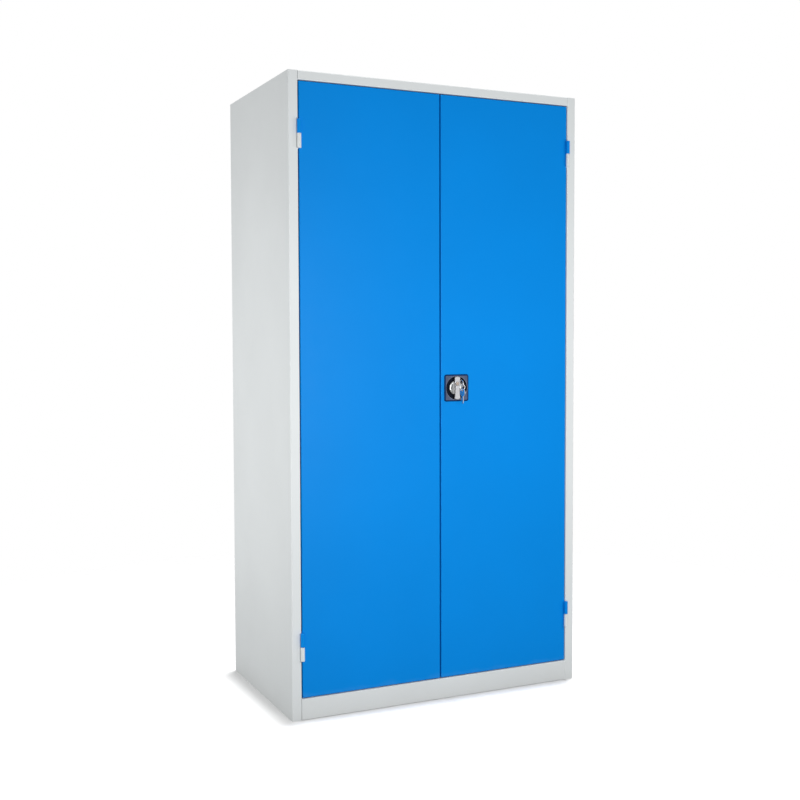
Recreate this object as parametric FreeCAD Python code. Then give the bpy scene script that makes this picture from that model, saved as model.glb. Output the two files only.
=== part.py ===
import FreeCAD
import Part
import math
import os

# Steel tool cabinet with two hinged doors, a rod lock worked by a turn handle, and
# adjustable shelves. Millimetres, +Z up, the doors face -Y. The origin is on the floor,
# under the middle of the carcass.

# Carcass
cabinet_width = 1000.0
cabinet_depth = 600.0
cabinet_height = 1950.0
sheet = 1.2
bend_radius = 1.4
post_width = 30.0
post_depth = 30.0
rear_lip = 25.0
top_rail_height = 27.0
stop_lip = 15.0
plinth_height = 66.0
base_flange = 38.0
floor_rise = 15.0
seam = 0.3
overrun = 4.0

# Slotted uprights and shelf clips
upright_width = 30.0
upright_depth = 15.0
upright_end_gap = 4.0
front_upright_set = 22.0
rear_upright_set = 46.0
slot_pitch = 50.0
first_slot = 45.0
slot_play = 0.3
clip_width = 14.0
clip_thickness = 3.0
clip_reach = 16.0
clip_hook = 2.0
clip_drop = 9.0

# Shelves
shelf_slot_numbers = (7, 14, 21, 28)
shelf_fold = 30.0
shelf_lip = 12.0
shelf_front_set = 22.0
shelf_back_set = 6.0
shelf_end_gap = 1.5
shelf_rib_width = 60.0
shelf_rib_depth = 20.0
shelf_rib_flange = 14.0

# Doors
door_gap = 3.0
centre_gap = 4.0
door_depth = 25.0
door_lip = 20.0
door_rib_width = 70.0
door_rib_depth = 20.0
door_rib_flange = 15.0
buffer_radius = 4.5
buffer_edge_set = 40.0

# Lift-off barrel hinges
lower_hinge_set = 157.5
upper_hinge_set = 156.0
knuckle_radius = 6.2
knuckle_length = 42.0
knuckle_stand = 0.4
knuckle_cap = 3.0
knuckle_chamfer = 0.8
leaf_thickness = 2.4
leaf_depth = 20.0
hinge_pin_radius = 4.0
running_clearance = 0.08
washer_thickness = 1.0
bearing_gap = 0.1

# Lock dish
lock_offset = 56.5
lock_rise = 4.5
dish_side = 86.0
dish_corner = 7.0
dish_plate = 3.0
dish_edge_round = 2.0
dish_radius = 37.2
dish_wall = 2.5
dish_depth = 7.0
dish_hole_gap = 0.5
dish_boss_radius = 14.0
dish_boss = 2.2
dish_screw_offset = 36.0
dish_screw_radius = 2.0
dish_screw_grip = 2.0
dish_screw_head_radius = 4.5
dish_screw_head = 2.5

# Turn handle and its cam
hub_radius = 24.5
hub_round = 4.5
bar_width = 22.0
bar_reach = 36.5
hub_rise = 0.5
bar_front = 9.4
bar_round = 1.2
bar_waist = 4.0
neck_radius = 8.0
cam_square = 10.0
cam_thickness = 3.0
cam_end_radius = 7.0
cam_pin_radius = 3.0
cam_screw_head_radius = 6.5
cam_screw_radius = 2.5
cam_screw_head = 4.0
cam_screw_length = 11.0

# Lock rods and their guides
rod_radius = 5.0
rod_set_back = 15.0
rod_start = 27.0
rod_throw = 18.0
rod_proud = 1.0
rod_hole_gap = 1.5
link_thickness = 2.0
link_margin = 5.0
link_play = 0.5
link_lap = 12.0
guide_width = 28.0
guide_plate = 2.0
guide_height = 20.0
guide_reach = 20.0
rod_guide_shares = (0.3, 0.85)
bush_wall = 1.4
bush_flange = 1.0
bush_flange_thickness = 1.5

# Hand bolts of the left door
bolt_offset = 32.0
bolt_length = 130.0
bolt_knob_radius = 4.5
bolt_knob_head_radius = 7.0
bolt_knob_head = 4.0
bolt_knob_reach = 22.0
bolt_guide_shares = (0.2, 0.8)
bolt_knob_share = 0.5

# Lock cylinder, keys and key ring
cylinder_radius = 7.0
cylinder_rise = 13.5
cylinder_stand = 1.5
cylinder_length = 16.0
cylinder_chamfer = 0.6
plug_radius = 5.0
plug_stand = 0.6
plug_length = 14.0
keyway_play = 0.1
key_thickness = 2.2
bow_radius = 12.5
bow_hole_radius = 3.0
bow_hole_set = 6.0
bow_stand = 26.0
bow_round = 0.6
blade_width = 7.6
blade_tip = 3.0
blade_length = 9.0
collar_width = 9.6
collar_length = 3.0
tooth_count = 4
tooth_depth_shares = (0.3, 0.16, 0.34, 0.22)
ring_radius = 8.3
ring_wire_radius = 0.8
hang_gap = 0.4
spare_key_turn = 14.0

# Places worked out from the sizes above
half_width = cabinet_width / 2
front = -cabinet_depth / 2
back = cabinet_depth / 2
wall_face = half_width - sheet
opening_half = half_width - post_width
post_back = front + post_depth
tray_front = post_back + seam
tray_back = back - 2 * sheet - seam
floor_top = plinth_height + floor_rise
web_face = wall_face - upright_depth
upright_bottom = floor_top + upright_end_gap
upright_top = cabinet_height - top_rail_height - upright_end_gap
door_bottom = plinth_height + door_gap
door_top = cabinet_height - top_rail_height - door_gap
lock_middle = (door_bottom + door_top) / 2 + lock_rise
door_height = door_top - door_bottom
door_width = opening_half - door_gap - centre_gap / 2
door_edge = opening_half - door_gap
door_back = front + door_depth
skin_back = front + sheet
hinge_x = opening_half - door_gap / 2
hinge_y = front - knuckle_radius - knuckle_stand
rod_y = front + rod_set_back
rod_bore = rod_radius + running_clearance
dish_floor = front + dish_depth
dish_back = dish_floor + dish_wall
boss_back = dish_back + dish_boss
hub_back = dish_floor - seam
hub_front = front - hub_rise
waist_radius = (bar_reach**2 + bar_waist**2) / (2 * bar_waist)
cam_front = boss_back + seam
cam_back = cam_front + cam_thickness
key_z = lock_middle + cylinder_rise
plug_face = front - bar_front - cylinder_stand - plug_stand
bow_y = plug_face - bow_stand
hook_y = bow_y - bow_hole_set
ring_drop = bow_hole_radius - ring_wire_radius - hang_gap
ring_top = key_z - ring_drop
ring_bottom = ring_top - 2 * ring_radius
spare_bow_z = ring_bottom - ring_drop - bow_hole_set

AXES = {
    "x": FreeCAD.Vector(1, 0, 0),
    "y": FreeCAD.Vector(0, 1, 0),
    "z": FreeCAD.Vector(0, 0, 1),
}


def block(x_span, y_span, z_span):
    """A box between two places on each axis."""
    size = [high - low for low, high in (x_span, y_span, z_span)]
    corner = FreeCAD.Vector(x_span[0], y_span[0], z_span[0])
    return Part.makeBox(size[0], size[1], size[2], corner)


def rod(radius, axis, centre, span):
    """A round bar along an axis between two places on it. Its centre line passes through centre."""
    start = FreeCAD.Vector(*centre)
    setattr(start, axis, span[0])
    return Part.makeCylinder(radius, span[1] - span[0], start, AXES[axis])


def place(plane, u, v, level):
    """A point given by its two places in a plane and its level along the plane's normal."""
    if plane == "xy":
        return FreeCAD.Vector(u, v, level)
    if plane == "yz":
        return FreeCAD.Vector(level, u, v)
    return FreeCAD.Vector(u, level, v)


def rounded_face(points, radii):
    """A flat face inside a closed polygon whose corners are rounded by tangent arcs."""
    edges = []
    starts = []
    ends = []
    middles = []
    for i, corner in enumerate(points):
        before = (points[i - 1] - corner).normalize()
        after = (points[(i + 1) % len(points)] - corner).normalize()
        half_angle = before.getAngle(after) / 2
        towards = (before + after).normalize()
        tangent = radii[i] / math.tan(half_angle)
        starts.append(corner + before * tangent)
        ends.append(corner + after * tangent)
        middles.append(corner + towards * (radii[i] / math.sin(half_angle) - radii[i]))
    for i in range(len(points)):
        if radii[i] > 0:
            edges.append(Part.Arc(starts[i], middles[i], ends[i]).toShape())
        following = starts[(i + 1) % len(points)]
        edges.append(Part.LineSegment(ends[i], following).toShape())
    return Part.Face(Part.Wire(edges))


def folded_sheet(line, plane, span):
    """Bent sheet metal. The line is the run of its outer face, the sheet lies to the left
    of it, and span is the extent along the plane's normal."""
    outer = []
    inner = []
    outer_radii = []
    inner_radii = []
    for i, (u, v) in enumerate(line):
        steps = []
        if i > 0:
            steps.append((u - line[i - 1][0], v - line[i - 1][1]))
        if i < len(line) - 1:
            steps.append((line[i + 1][0] - u, line[i + 1][1] - v))
        normals = []
        for du, dv in steps:
            length = math.hypot(du, dv)
            normals.append((-dv / length, du / length))
        first = normals[0]
        last = normals[-1]
        share = 1 + first[0] * last[0] + first[1] * last[1]
        if len(normals) == 1:
            offset = first
            turn = 0
        else:
            offset = ((first[0] + last[0]) / share, (first[1] + last[1]) / share)
            turn = first[0] * last[1] - first[1] * last[0]
        outer.append(place(plane, u, v, span[0]))
        inner.append(place(plane, u + sheet * offset[0], v + sheet * offset[1], span[0]))
        small = bend_radius if turn else 0
        large = bend_radius + sheet if turn else 0
        outer_radii.append(large if turn > 0 else small)
        inner_radii.append(small if turn > 0 else large)
    face = rounded_face(outer + inner[::-1], outer_radii + inner_radii[::-1])
    normal = {"xy": "z", "yz": "x", "xz": "y"}[plane]
    return face.extrude(AXES[normal] * (span[1] - span[0]))


def folded_pan(width, depth, height, lip):
    """A sheet tray with its face on the XZ plane, sides going back along +Y and lips
    turned inwards, with every bend rounded."""
    outer = Part.makeBox(width, depth, height)
    outer = outer.makeFillet(bend_radius + sheet, outer.Edges)
    inset = FreeCAD.Vector(sheet, sheet, sheet)
    inner = Part.makeBox(width - 2 * sheet, depth - 2 * sheet, height - 2 * sheet, inset)
    inner = inner.makeFillet(bend_radius, inner.Edges)
    window = block((lip, width - lip), (depth / 2, depth + overrun), (lip, height - lip))
    return outer.cut(inner).cut(window)


def laid_pan(x_span, y_span, top, depth, lip):
    """A folded pan that lies face up, with its folds hanging down."""
    pan = folded_pan(x_span[1] - x_span[0], depth, y_span[1] - y_span[0], lip)
    pan.rotate(FreeCAD.Vector(0, 0, 0), AXES["x"], -90)
    pan.translate(FreeCAD.Vector(x_span[0], y_span[0], top))
    return pan


def upright_round_block(x_span, y_span, z_span, radius):
    """A box whose four upright edges are rounded."""
    solid = block(x_span, y_span, z_span)
    edges = [e for e in solid.Edges if abs(e.tangentAt(e.FirstParameter).z) > 0.9]
    return solid.makeFillet(radius, edges)


def mirrored(shape):
    """The same shape on the other side of the cabinet."""
    return shape.mirror(FreeCAD.Vector(0, 0, 0), AXES["x"])


def save(name, *shapes):
    """Writes one node, which is one solid or a group of like ones."""
    shape = shapes[0] if len(shapes) == 1 else Part.makeCompound(list(shapes))
    shape.exportStep(os.path.join("parts", name + ".step"))


def side_panel():
    """Left wall with its boxed front post and rear flange, folded from one sheet. Inside
    the outer skin it stops below the top panel."""
    line = [
        (-opening_half, back),
        (-half_width, back),
        (-half_width, front),
        (-opening_half, front),
        (-opening_half, post_back),
        (-wall_face + seam, post_back),
    ]
    panel = folded_sheet(line, "xy", (0, cabinet_height))
    recess = upright_round_block(
        (-wall_face, -opening_half + overrun),
        (front + sheet, back - sheet),
        (cabinet_height - sheet - seam, cabinet_height + overrun),
        bend_radius,
    )
    return panel.cut(recess)


def top_panel():
    """Top sheet with its front rail, the door stop behind the rail, and a rear lip."""
    rail_half = opening_half - seam
    rail_bottom = cabinet_height - top_rail_height
    line = [
        (back, cabinet_height - rear_lip),
        (back, cabinet_height),
        (front, cabinet_height),
        (front, rail_bottom),
        (post_back, rail_bottom),
        (post_back, rail_bottom - stop_lip),
    ]
    rail = folded_sheet(line, "yz", (-rail_half, rail_half))
    edge = wall_face - seam
    plate = upright_round_block(
        (-edge, edge),
        (front + sheet + seam, back - sheet - seam),
        (cabinet_height - sheet, cabinet_height),
        bend_radius + sheet,
    )
    panel = rail.fuse(plate).removeSplitter()
    rod_hole = rod_radius + rod_hole_gap
    through = (rail_bottom - overrun, rail_bottom + overrun)
    for x in (lock_offset, -bolt_offset):
        panel = panel.cut(rod(rod_hole, "z", (x, rod_y, 0), through))
    return panel


def back_panel():
    """Flat rear sheet, welded inside the rear flanges."""
    edge = wall_face - bend_radius - seam
    top = cabinet_height - sheet - bend_radius - seam
    return block((-edge, edge), (back - 2 * sheet, back - sheet), (0, top))


def base_frame():
    """Welded ring that stands on the floor: the plinth between the posts, and channels
    along both sides and the back."""
    front_half = opening_half - seam
    side = wall_face - seam
    plinth_line = [
        (front + base_flange, plinth_height),
        (front, plinth_height),
        (front, 0),
        (front + base_flange, 0),
    ]
    plinth = folded_sheet(plinth_line, "yz", (-front_half, front_half))
    side_line = [
        (-side + base_flange, plinth_height),
        (-side, plinth_height),
        (-side, 0),
        (-side + base_flange, 0),
    ]
    left = folded_sheet(side_line, "xz", (tray_front, tray_back))
    rear_line = [
        (tray_back - base_flange, 0),
        (tray_back, 0),
        (tray_back, plinth_height),
        (tray_back - base_flange, plinth_height),
    ]
    rear = folded_sheet(rear_line, "yz", (-side, side))
    ring = plinth.fuse([left, mirrored(left), rear]).removeSplitter()
    rod_hole = rod_radius + rod_hole_gap
    through = (plinth_height - overrun, plinth_height + overrun)
    for x in (lock_offset, -bolt_offset):
        ring = ring.cut(rod(rod_hole, "z", (x, rod_y, 0), through))
    return ring


def floor_panel():
    """Cabinet floor, a tray on the base frame. Its front fold stops the doors."""
    edge = wall_face - seam
    return laid_pan((-edge, edge), (tray_front, tray_back), floor_top, floor_rise, shelf_lip)


def slot_heights():
    """Heights of the middles of the upright's slots."""
    count = int((upright_top - upright_bottom - 2 * first_slot) // slot_pitch) + 1
    return [upright_bottom + first_slot + i * slot_pitch for i in range(count)]


def upright(y_middle):
    """Slotted channel on the left wall, its open side against the wall."""
    y_near = y_middle - upright_width / 2
    y_far = y_middle + upright_width / 2
    line = [(-wall_face, y_far), (-web_face, y_far), (-web_face, y_near), (-wall_face, y_near)]
    channel = folded_sheet(line[::-1], "xy", (upright_bottom, upright_top))
    half_slot = clip_width / 2 + slot_play
    half_rise = clip_thickness / 2 + slot_play
    x_span = (-web_face - 2 * sheet, -web_face + overrun)
    y_span = (y_middle - half_slot, y_middle + half_slot)
    slots = [block(x_span, y_span, (z - half_rise, z + half_rise)) for z in slot_heights()]
    return channel.cut(Part.makeCompound(slots))


def shelf_clip(y_middle, z):
    """Steel clip hooked through a slot of a left upright, with a tongue for the shelf."""
    y_span = (y_middle - clip_width / 2, y_middle + clip_width / 2)
    low = z - clip_thickness / 2
    high = z + clip_thickness / 2
    hook_x = -web_face - sheet
    tongue = block((hook_x - clip_hook, -web_face + clip_reach), y_span, (low, high))
    hook = block((hook_x - clip_hook, hook_x), y_span, (low - clip_drop, high))
    return tongue.fuse(hook).removeSplitter()


def shelf_top(slot_number):
    """Height of a shelf's upper face when its folds rest on the clips."""
    return slot_heights()[slot_number] + clip_thickness / 2 + shelf_fold


def shelf(slot_number):
    """Shelf folded on all four sides, resting on four clips."""
    edge = web_face - shelf_end_gap
    y_span = (post_back + shelf_front_set, tray_back - shelf_back_set)
    return laid_pan((-edge, edge), y_span, shelf_top(slot_number), shelf_fold, shelf_lip)


def shelf_rib(slot_number):
    """Hat section welded under a shelf, along its middle."""
    under = shelf_top(slot_number) - sheet
    y_middle = (post_back + shelf_front_set + tray_back - shelf_back_set) / 2
    half = shelf_rib_width / 2
    line = [
        (y_middle - half - shelf_rib_flange, under - sheet),
        (y_middle - half, under - sheet),
        (y_middle - half, under - shelf_rib_depth),
        (y_middle + half, under - shelf_rib_depth),
        (y_middle + half, under - sheet),
        (y_middle + half + shelf_rib_flange, under - sheet),
    ]
    edge = web_face - shelf_end_gap - sheet - bend_radius
    return folded_sheet(line, "yz", (-edge, edge))


def door_pan():
    """Left door skin, a pan whose face is flush with the posts."""
    pan = folded_pan(door_width, door_depth, door_height, door_lip)
    pan.translate(FreeCAD.Vector(-door_edge, front, door_bottom))
    return pan


def rod_way(x):
    """Cut for a rod or bolt through a door's upper and lower fold."""
    hole = rod_bore + bush_wall
    upper = rod(hole, "z", (x, rod_y, 0), (door_top - 2 * sheet, door_top + overrun))
    lower = rod(hole, "z", (x, rod_y, 0), (door_bottom - overrun, door_bottom + 2 * sheet))
    return Part.makeCompound([upper, lower])


def left_door_skin():
    """Left door skin with the holes for its two bolts."""
    return door_pan().cut(rod_way(-bolt_offset))


def dish_screw_places():
    """Middles of the four screws that hold the lock dish."""
    return [
        (lock_offset + dish_screw_offset * side, lock_middle + dish_screw_offset * rise)
        for side in (-1, 1)
        for rise in (-1, 1)
    ]


def right_door_skin():
    """Right door skin with the holes for the lock dish, its screws and the rods."""
    skin = mirrored(door_pan()).cut(rod_way(lock_offset))
    hole = dish_radius + dish_wall + dish_hole_gap
    through = (front - overrun, front + overrun)
    skin = skin.cut(rod(hole, "y", (lock_offset, 0, lock_middle), through))
    for x, z in dish_screw_places():
        skin = skin.cut(rod(dish_screw_radius + dish_hole_gap, "y", (x, 0, z), through))
    return skin


def door_rib():
    """Hat section welded down the middle of the left door's skin."""
    middle = -door_edge + door_width / 2
    half = door_rib_width / 2
    line = [
        (middle - half - door_rib_flange, skin_back + sheet),
        (middle - half, skin_back + sheet),
        (middle - half, skin_back + door_rib_depth),
        (middle + half, skin_back + door_rib_depth),
        (middle + half, skin_back + sheet),
        (middle + half + door_rib_flange, skin_back + sheet),
    ]
    ends = sheet + bend_radius + seam
    return folded_sheet(line[::-1], "xy", (door_bottom + ends, door_top - ends))


def hinge_joins():
    """Heights at which the two halves of each hinge meet."""
    return (door_bottom + lower_hinge_set, door_top - upper_hinge_set)


def chamfered_barrel(radius, span):
    """Hinge barrel about the left hinge axis, with chamfered ends."""
    barrel = rod(radius, "z", (-hinge_x, hinge_y, 0), span)
    rims = [e for e in barrel.Edges if len(e.Vertexes) == 1]
    return barrel.makeChamfer(knuckle_chamfer, rims)


def knuckle(span, leaf_x, bore, bore_span):
    """Barrel with a leaf that runs back into the gap beside the door."""
    barrel = chamfered_barrel(knuckle_radius, span)
    wall = knuckle_radius - hinge_pin_radius
    leaf_start = hinge_y + knuckle_radius - wall / 2
    leaf = block((leaf_x, leaf_x + leaf_thickness), (leaf_start, front + leaf_depth), span)
    hole = rod(bore, "z", (-hinge_x, hinge_y, 0), bore_span)
    return barrel.fuse(leaf).cut(hole).removeSplitter()


def frame_knuckle(join):
    """Lower half of a left hinge, welded to the post."""
    high = join - washer_thickness / 2
    low = high - knuckle_length
    return knuckle((low, high), -opening_half, hinge_pin_radius, (low - overrun, high + overrun))


def door_knuckle(join):
    """Upper half of a left hinge, welded to the door's edge. Its bore is closed on top."""
    low = join + washer_thickness / 2 + bearing_gap
    high = low + knuckle_length
    leaf_x = -door_edge - leaf_thickness
    bore = hinge_pin_radius + running_clearance
    return knuckle((low, high), leaf_x, bore, (low - overrun, high - knuckle_cap))


def hinge_pin(join):
    """Pin pressed into a left frame knuckle, on which the door's knuckle turns."""
    low = join - washer_thickness / 2 - knuckle_length
    high = join + knuckle_length - 2 * knuckle_cap
    return rod(hinge_pin_radius, "z", (-hinge_x, hinge_y, 0), (low, high))


def hinge_washer(join):
    """Washer between the two halves of a left hinge."""
    span = (join - washer_thickness / 2, join + washer_thickness / 2)
    disc = rod(knuckle_radius, "z", (-hinge_x, hinge_y, 0), span)
    bore = hinge_pin_radius + running_clearance
    hole = rod(bore, "z", (-hinge_x, hinge_y, 0), (span[0] - overrun, span[1] + overrun))
    return disc.cut(hole)


def door_buffers():
    """Rubber pads on the upper and lower door stops, two for each door."""
    upper_z = cabinet_height - top_rail_height - stop_lip / 2
    lower_z = plinth_height + floor_rise / 2
    pads = []
    for z, stop in ((upper_z, post_back), (lower_z, tray_front)):
        for x in (door_edge - buffer_edge_set, bolt_offset + rod_bore + buffer_edge_set):
            for side in (-1, 1):
                pads.append(rod(buffer_radius, "y", (side * x, 0, z), (door_back + seam, stop)))
    return pads


def lock_dish():
    """Square plate with a round recess for the handle, set into the right door."""
    half = dish_side / 2
    low_x = lock_offset - half
    low_z = lock_middle - half
    corners = [
        FreeCAD.Vector(low_x, front, low_z),
        FreeCAD.Vector(low_x + dish_side, front, low_z),
        FreeCAD.Vector(low_x + dish_side, front, low_z + dish_side),
        FreeCAD.Vector(low_x, front, low_z + dish_side),
    ]
    plate = rounded_face(corners, [dish_corner] * len(corners)).extrude(AXES["y"] * -dish_plate)
    rim = [e for e in plate.Edges if e.BoundBox.YMax < front - dish_plate / 2]
    plate = plate.makeFillet(dish_edge_round, rim)
    middle = (lock_offset, 0, lock_middle)
    cup = rod(dish_radius + dish_wall, "y", middle, (front, dish_back))
    boss = rod(dish_boss_radius, "y", middle, (dish_floor, boss_back))
    recess = rod(dish_radius, "y", middle, (front - dish_plate - overrun, dish_floor))
    bore = rod(neck_radius + running_clearance, "y", middle, (front, boss_back + overrun))
    dish = plate.fuse([cup, boss]).cut(recess).cut(bore)
    for x, z in dish_screw_places():
        dish = dish.cut(rod(dish_screw_radius, "y", (x, 0, z), (front - dish_screw_grip, front)))
    return dish.removeSplitter()


def dish_screws():
    """Flanged screws that hold the dish from inside the door."""
    screws = []
    for x, z in dish_screw_places():
        shank = rod(dish_screw_radius, "y", (x, 0, z), (front - dish_screw_grip, skin_back))
        head = rod(dish_screw_head_radius, "y", (x, 0, z), (skin_back, skin_back + dish_screw_head))
        screws.append(shank.fuse(head).removeSplitter())
    return screws


def cam_square_block(span):
    """Square end of the handle's neck, which carries the cam."""
    half = cam_square / 2
    x_span = (lock_offset - half, lock_offset + half)
    return block(x_span, span, (lock_middle - half, lock_middle + half))


def cam_screw():
    """Countersunk screw that holds the cam on the neck."""
    tip = cam_back - cam_screw_length
    middle = FreeCAD.Vector(lock_offset, cam_back - cam_screw_head, lock_middle)
    head = Part.makeCone(cam_screw_radius, cam_screw_head_radius, cam_screw_head, middle, AXES["y"])
    shank = rod(cam_screw_radius, "y", (lock_offset, 0, lock_middle), (tip, cam_back - cam_screw_head))
    return head.fuse(shank).removeSplitter()


def grip_bar():
    """Bar across the hub, narrower in the middle. Its ends lie on a circle about the
    handle's axis, and it passes over the hub's rounded rim."""
    middle = (lock_offset, 0, lock_middle)
    half = bar_width / 2
    bar_y = (front - bar_front, hub_front)
    x_span = (lock_offset - half, lock_offset + half)
    bar = block(x_span, bar_y, (lock_middle - bar_reach, lock_middle + bar_reach))
    bar = bar.common(rod(bar_reach, "y", middle, bar_y))
    for side in (-1, 1):
        waist_x = lock_offset + side * (half - bar_waist + waist_radius)
        bar = bar.cut(rod(waist_radius, "y", (waist_x, 0, lock_middle), bar_y))
    crown = [e for e in bar.Edges if e.BoundBox.YMax < front - bar_front + bar_round / 2]
    return bar.makeFillet(bar_round, crown)


def turn_handle():
    """Round hub in the dish with a grip bar across it, and a neck through the dish. The
    bar is upright at rest."""
    middle = (lock_offset, 0, lock_middle)
    hub = rod(hub_radius, "y", middle, (hub_front, hub_back))
    rim = [e for e in hub.Edges if len(e.Vertexes) == 1 and e.BoundBox.YMax < (hub_front + hub_back) / 2]
    hub = hub.makeFillet(hub_round, rim)
    neck = rod(neck_radius, "y", middle, (hub_back, cam_front))
    square = cam_square_block((cam_front, cam_back))
    handle = hub.fuse([grip_bar(), neck, square])
    handle = handle.cut(cylinder_blank())
    return handle.cut(cam_screw()).removeSplitter()


def cylinder_blank():
    """Outside of the lock cylinder, in the upper arm of the grip bar."""
    face = front - bar_front - cylinder_stand
    return rod(cylinder_radius, "y", (lock_offset, 0, key_z), (face, face + cylinder_length))


def lock_cylinder():
    """Cylinder body with a bore for the plug."""
    body = cylinder_blank()
    rim = [e for e in body.Edges if len(e.Vertexes) == 1 and e.BoundBox.YMax < front - bar_front]
    body = body.makeChamfer(cylinder_chamfer, rim)
    face = front - bar_front - cylinder_stand
    bore_span = (face - overrun, plug_face + plug_length + seam)
    bore = rod(plug_radius + running_clearance, "y", (lock_offset, 0, key_z), bore_span)
    return body.cut(bore)


def cylinder_plug():
    """Plug that turns in the cylinder, with the keyway through its face."""
    plug = rod(plug_radius, "y", (lock_offset, 0, key_z), (plug_face, plug_face + plug_length))
    half_slot = key_thickness / 2 + keyway_play
    half_blade = blade_width / 2 + keyway_play
    keyway = block(
        (lock_offset - half_slot, lock_offset + half_slot),
        (plug_face - overrun, plug_face + blade_length + seam),
        (key_z - half_blade, key_z + half_blade),
    )
    return plug.cut(keyway)


def key():
    """Flat key in the YZ plane: its bow is centred on the origin and its blade points
    along +Y. The hole for the ring is in the outer half of the bow."""
    half = key_thickness / 2
    bow = rod(bow_radius, "x", (0, 0, 0), (-half, half))
    rims = [e for e in bow.Edges if len(e.Vertexes) == 1]
    bow = bow.makeFillet(bow_round, rims)
    shank_end = bow_stand - seam
    collar_span = (shank_end - collar_length, shank_end)
    collar = block((-half, half), collar_span, (-collar_width / 2, collar_width / 2))
    tip = shank_end + seam + blade_length
    flat = blade_width / 2
    pitch = (blade_length - blade_tip) / tooth_count
    outline = [(0, -flat), (tip - blade_tip, -flat), (tip, -flat / 2), (tip, flat / 2)]
    for i in range(tooth_count):
        depth = blade_width * tooth_depth_shares[i % len(tooth_depth_shares)]
        peak = tip - blade_tip - i * pitch
        outline.append((peak, flat))
        outline.append((peak - pitch / 2, flat - depth))
    outline.append((shank_end + seam, flat))
    outline.append((0, flat))
    points = [FreeCAD.Vector(-half, y, z) for y, z in outline]
    blade = rounded_face(points, [0] * len(points)).extrude(AXES["x"] * key_thickness)
    hole = rod(bow_hole_radius, "x", (0, -bow_hole_set, 0), (-key_thickness, key_thickness))
    return bow.fuse([collar, blade]).cut(hole).removeSplitter()


def inserted_key():
    """Key in the lock, its blade upright in the plug."""
    shape = key()
    shape.translate(FreeCAD.Vector(lock_offset, bow_y, key_z))
    return shape


def spare_key():
    """Second key, hanging from the ring with its blade down and turned a little on the wire."""
    shape = key()
    shape.rotate(FreeCAD.Vector(0, 0, 0), AXES["x"], -90)
    shape.rotate(FreeCAD.Vector(0, 0, 0), AXES["z"], spare_key_turn)
    shape.translate(FreeCAD.Vector(lock_offset, hook_y, spare_bow_z))
    return shape


def key_ring():
    """Wire ring through the holes of both keys."""
    middle = FreeCAD.Vector(lock_offset, hook_y, ring_top - ring_radius)
    return Part.makeTorus(ring_radius, ring_wire_radius, middle, AXES["y"])


def lock_cam():
    """Two-armed plate on the neck, with one pin for each rod."""
    reach = rod_throw + cam_end_radius
    arms = [
        FreeCAD.Vector(lock_offset + side * reach, cam_front, lock_middle + rise * cam_end_radius)
        for side, rise in ((-1, -1), (1, -1), (1, 1), (-1, 1))
    ]
    plate = rounded_face(arms, [cam_end_radius - seam] * len(arms)).extrude(AXES["y"] * cam_thickness)
    pin_end = cam_back + 2 * (link_thickness + seam) + seam
    pins = []
    for side in (-1, 1):
        pin_x = lock_offset + side * rod_throw
        pins.append(rod(cam_pin_radius, "y", (pin_x, 0, lock_middle), (cam_front, pin_end)))
    cam = plate.fuse(pins).cut(cam_square_block((cam_front - overrun, cam_back + overrun)))
    return cam.cut(cam_screw()).removeSplitter()


def lock_rod(rise):
    """Rod from the cam to the door's upper edge (rise 1) or lower edge (rise -1). A slotted
    link is welded to it, and a pin of the cam moves in the slot. The slot has room for the
    pin's lead over an even travel."""
    tip = door_top + rod_proud if rise > 0 else door_bottom - rod_proud
    start = lock_middle + rise * rod_start
    bar = rod(rod_radius, "z", (lock_offset, rod_y, 0), (min(start, tip), max(start, tip)))
    level = cam_back + seam
    if rise < 0:
        level += link_thickness + seam
    lead_angle = math.acos(2 / math.pi)
    lead = rod_throw * (math.sin(lead_angle) - 2 * lead_angle / math.pi)
    slot_half = cam_pin_radius + link_play
    far = rod_throw + slot_half + link_margin
    near = rod_radius + link_margin / 2
    low = slot_half + link_margin
    high = rod_start + link_lap
    # Along X the upper link reaches to the left pin and the lower one to the right pin.
    x_ends = sorted((lock_offset - rise * far, lock_offset + rise * near))
    z_ends = sorted((lock_middle - rise * low, lock_middle + rise * high))
    link = block(x_ends, (level, level + link_thickness), z_ends)
    slot_x = sorted((lock_offset - rise * (rod_throw + slot_half), lock_offset + rise * slot_half))
    slot_z = sorted((lock_middle - rise * slot_half, lock_middle + rise * (slot_half + lead)))
    slot = block(slot_x, (level - overrun, level + link_thickness + overrun), slot_z)
    return link.cut(slot).fuse(bar).removeSplitter()


def rod_guide(x, z):
    """Angle bracket on a door's skin, with a hole in which a rod or bolt slides."""
    x_span = (x - guide_width / 2, x + guide_width / 2)
    foot = block(x_span, (skin_back, skin_back + guide_plate), (z, z + guide_height))
    shelf_part = block(x_span, (skin_back, skin_back + guide_reach), (z, z + guide_plate))
    hole = rod(rod_bore, "z", (x, rod_y, 0), (z - overrun, z + guide_plate + overrun))
    return foot.fuse(shelf_part).cut(hole).removeSplitter()


def guide_height_at(start, end, share):
    """Height of a guide at a share of the way from start to end."""
    return start + share * (end - start)


def rod_guides():
    """Guides of the two lock rods."""
    guides = []
    for end in (door_top, door_bottom):
        start = lock_middle + (rod_start if end > lock_middle else -rod_start)
        for share in rod_guide_shares:
            guides.append(rod_guide(lock_offset, guide_height_at(start, end, share)))
    return guides


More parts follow.
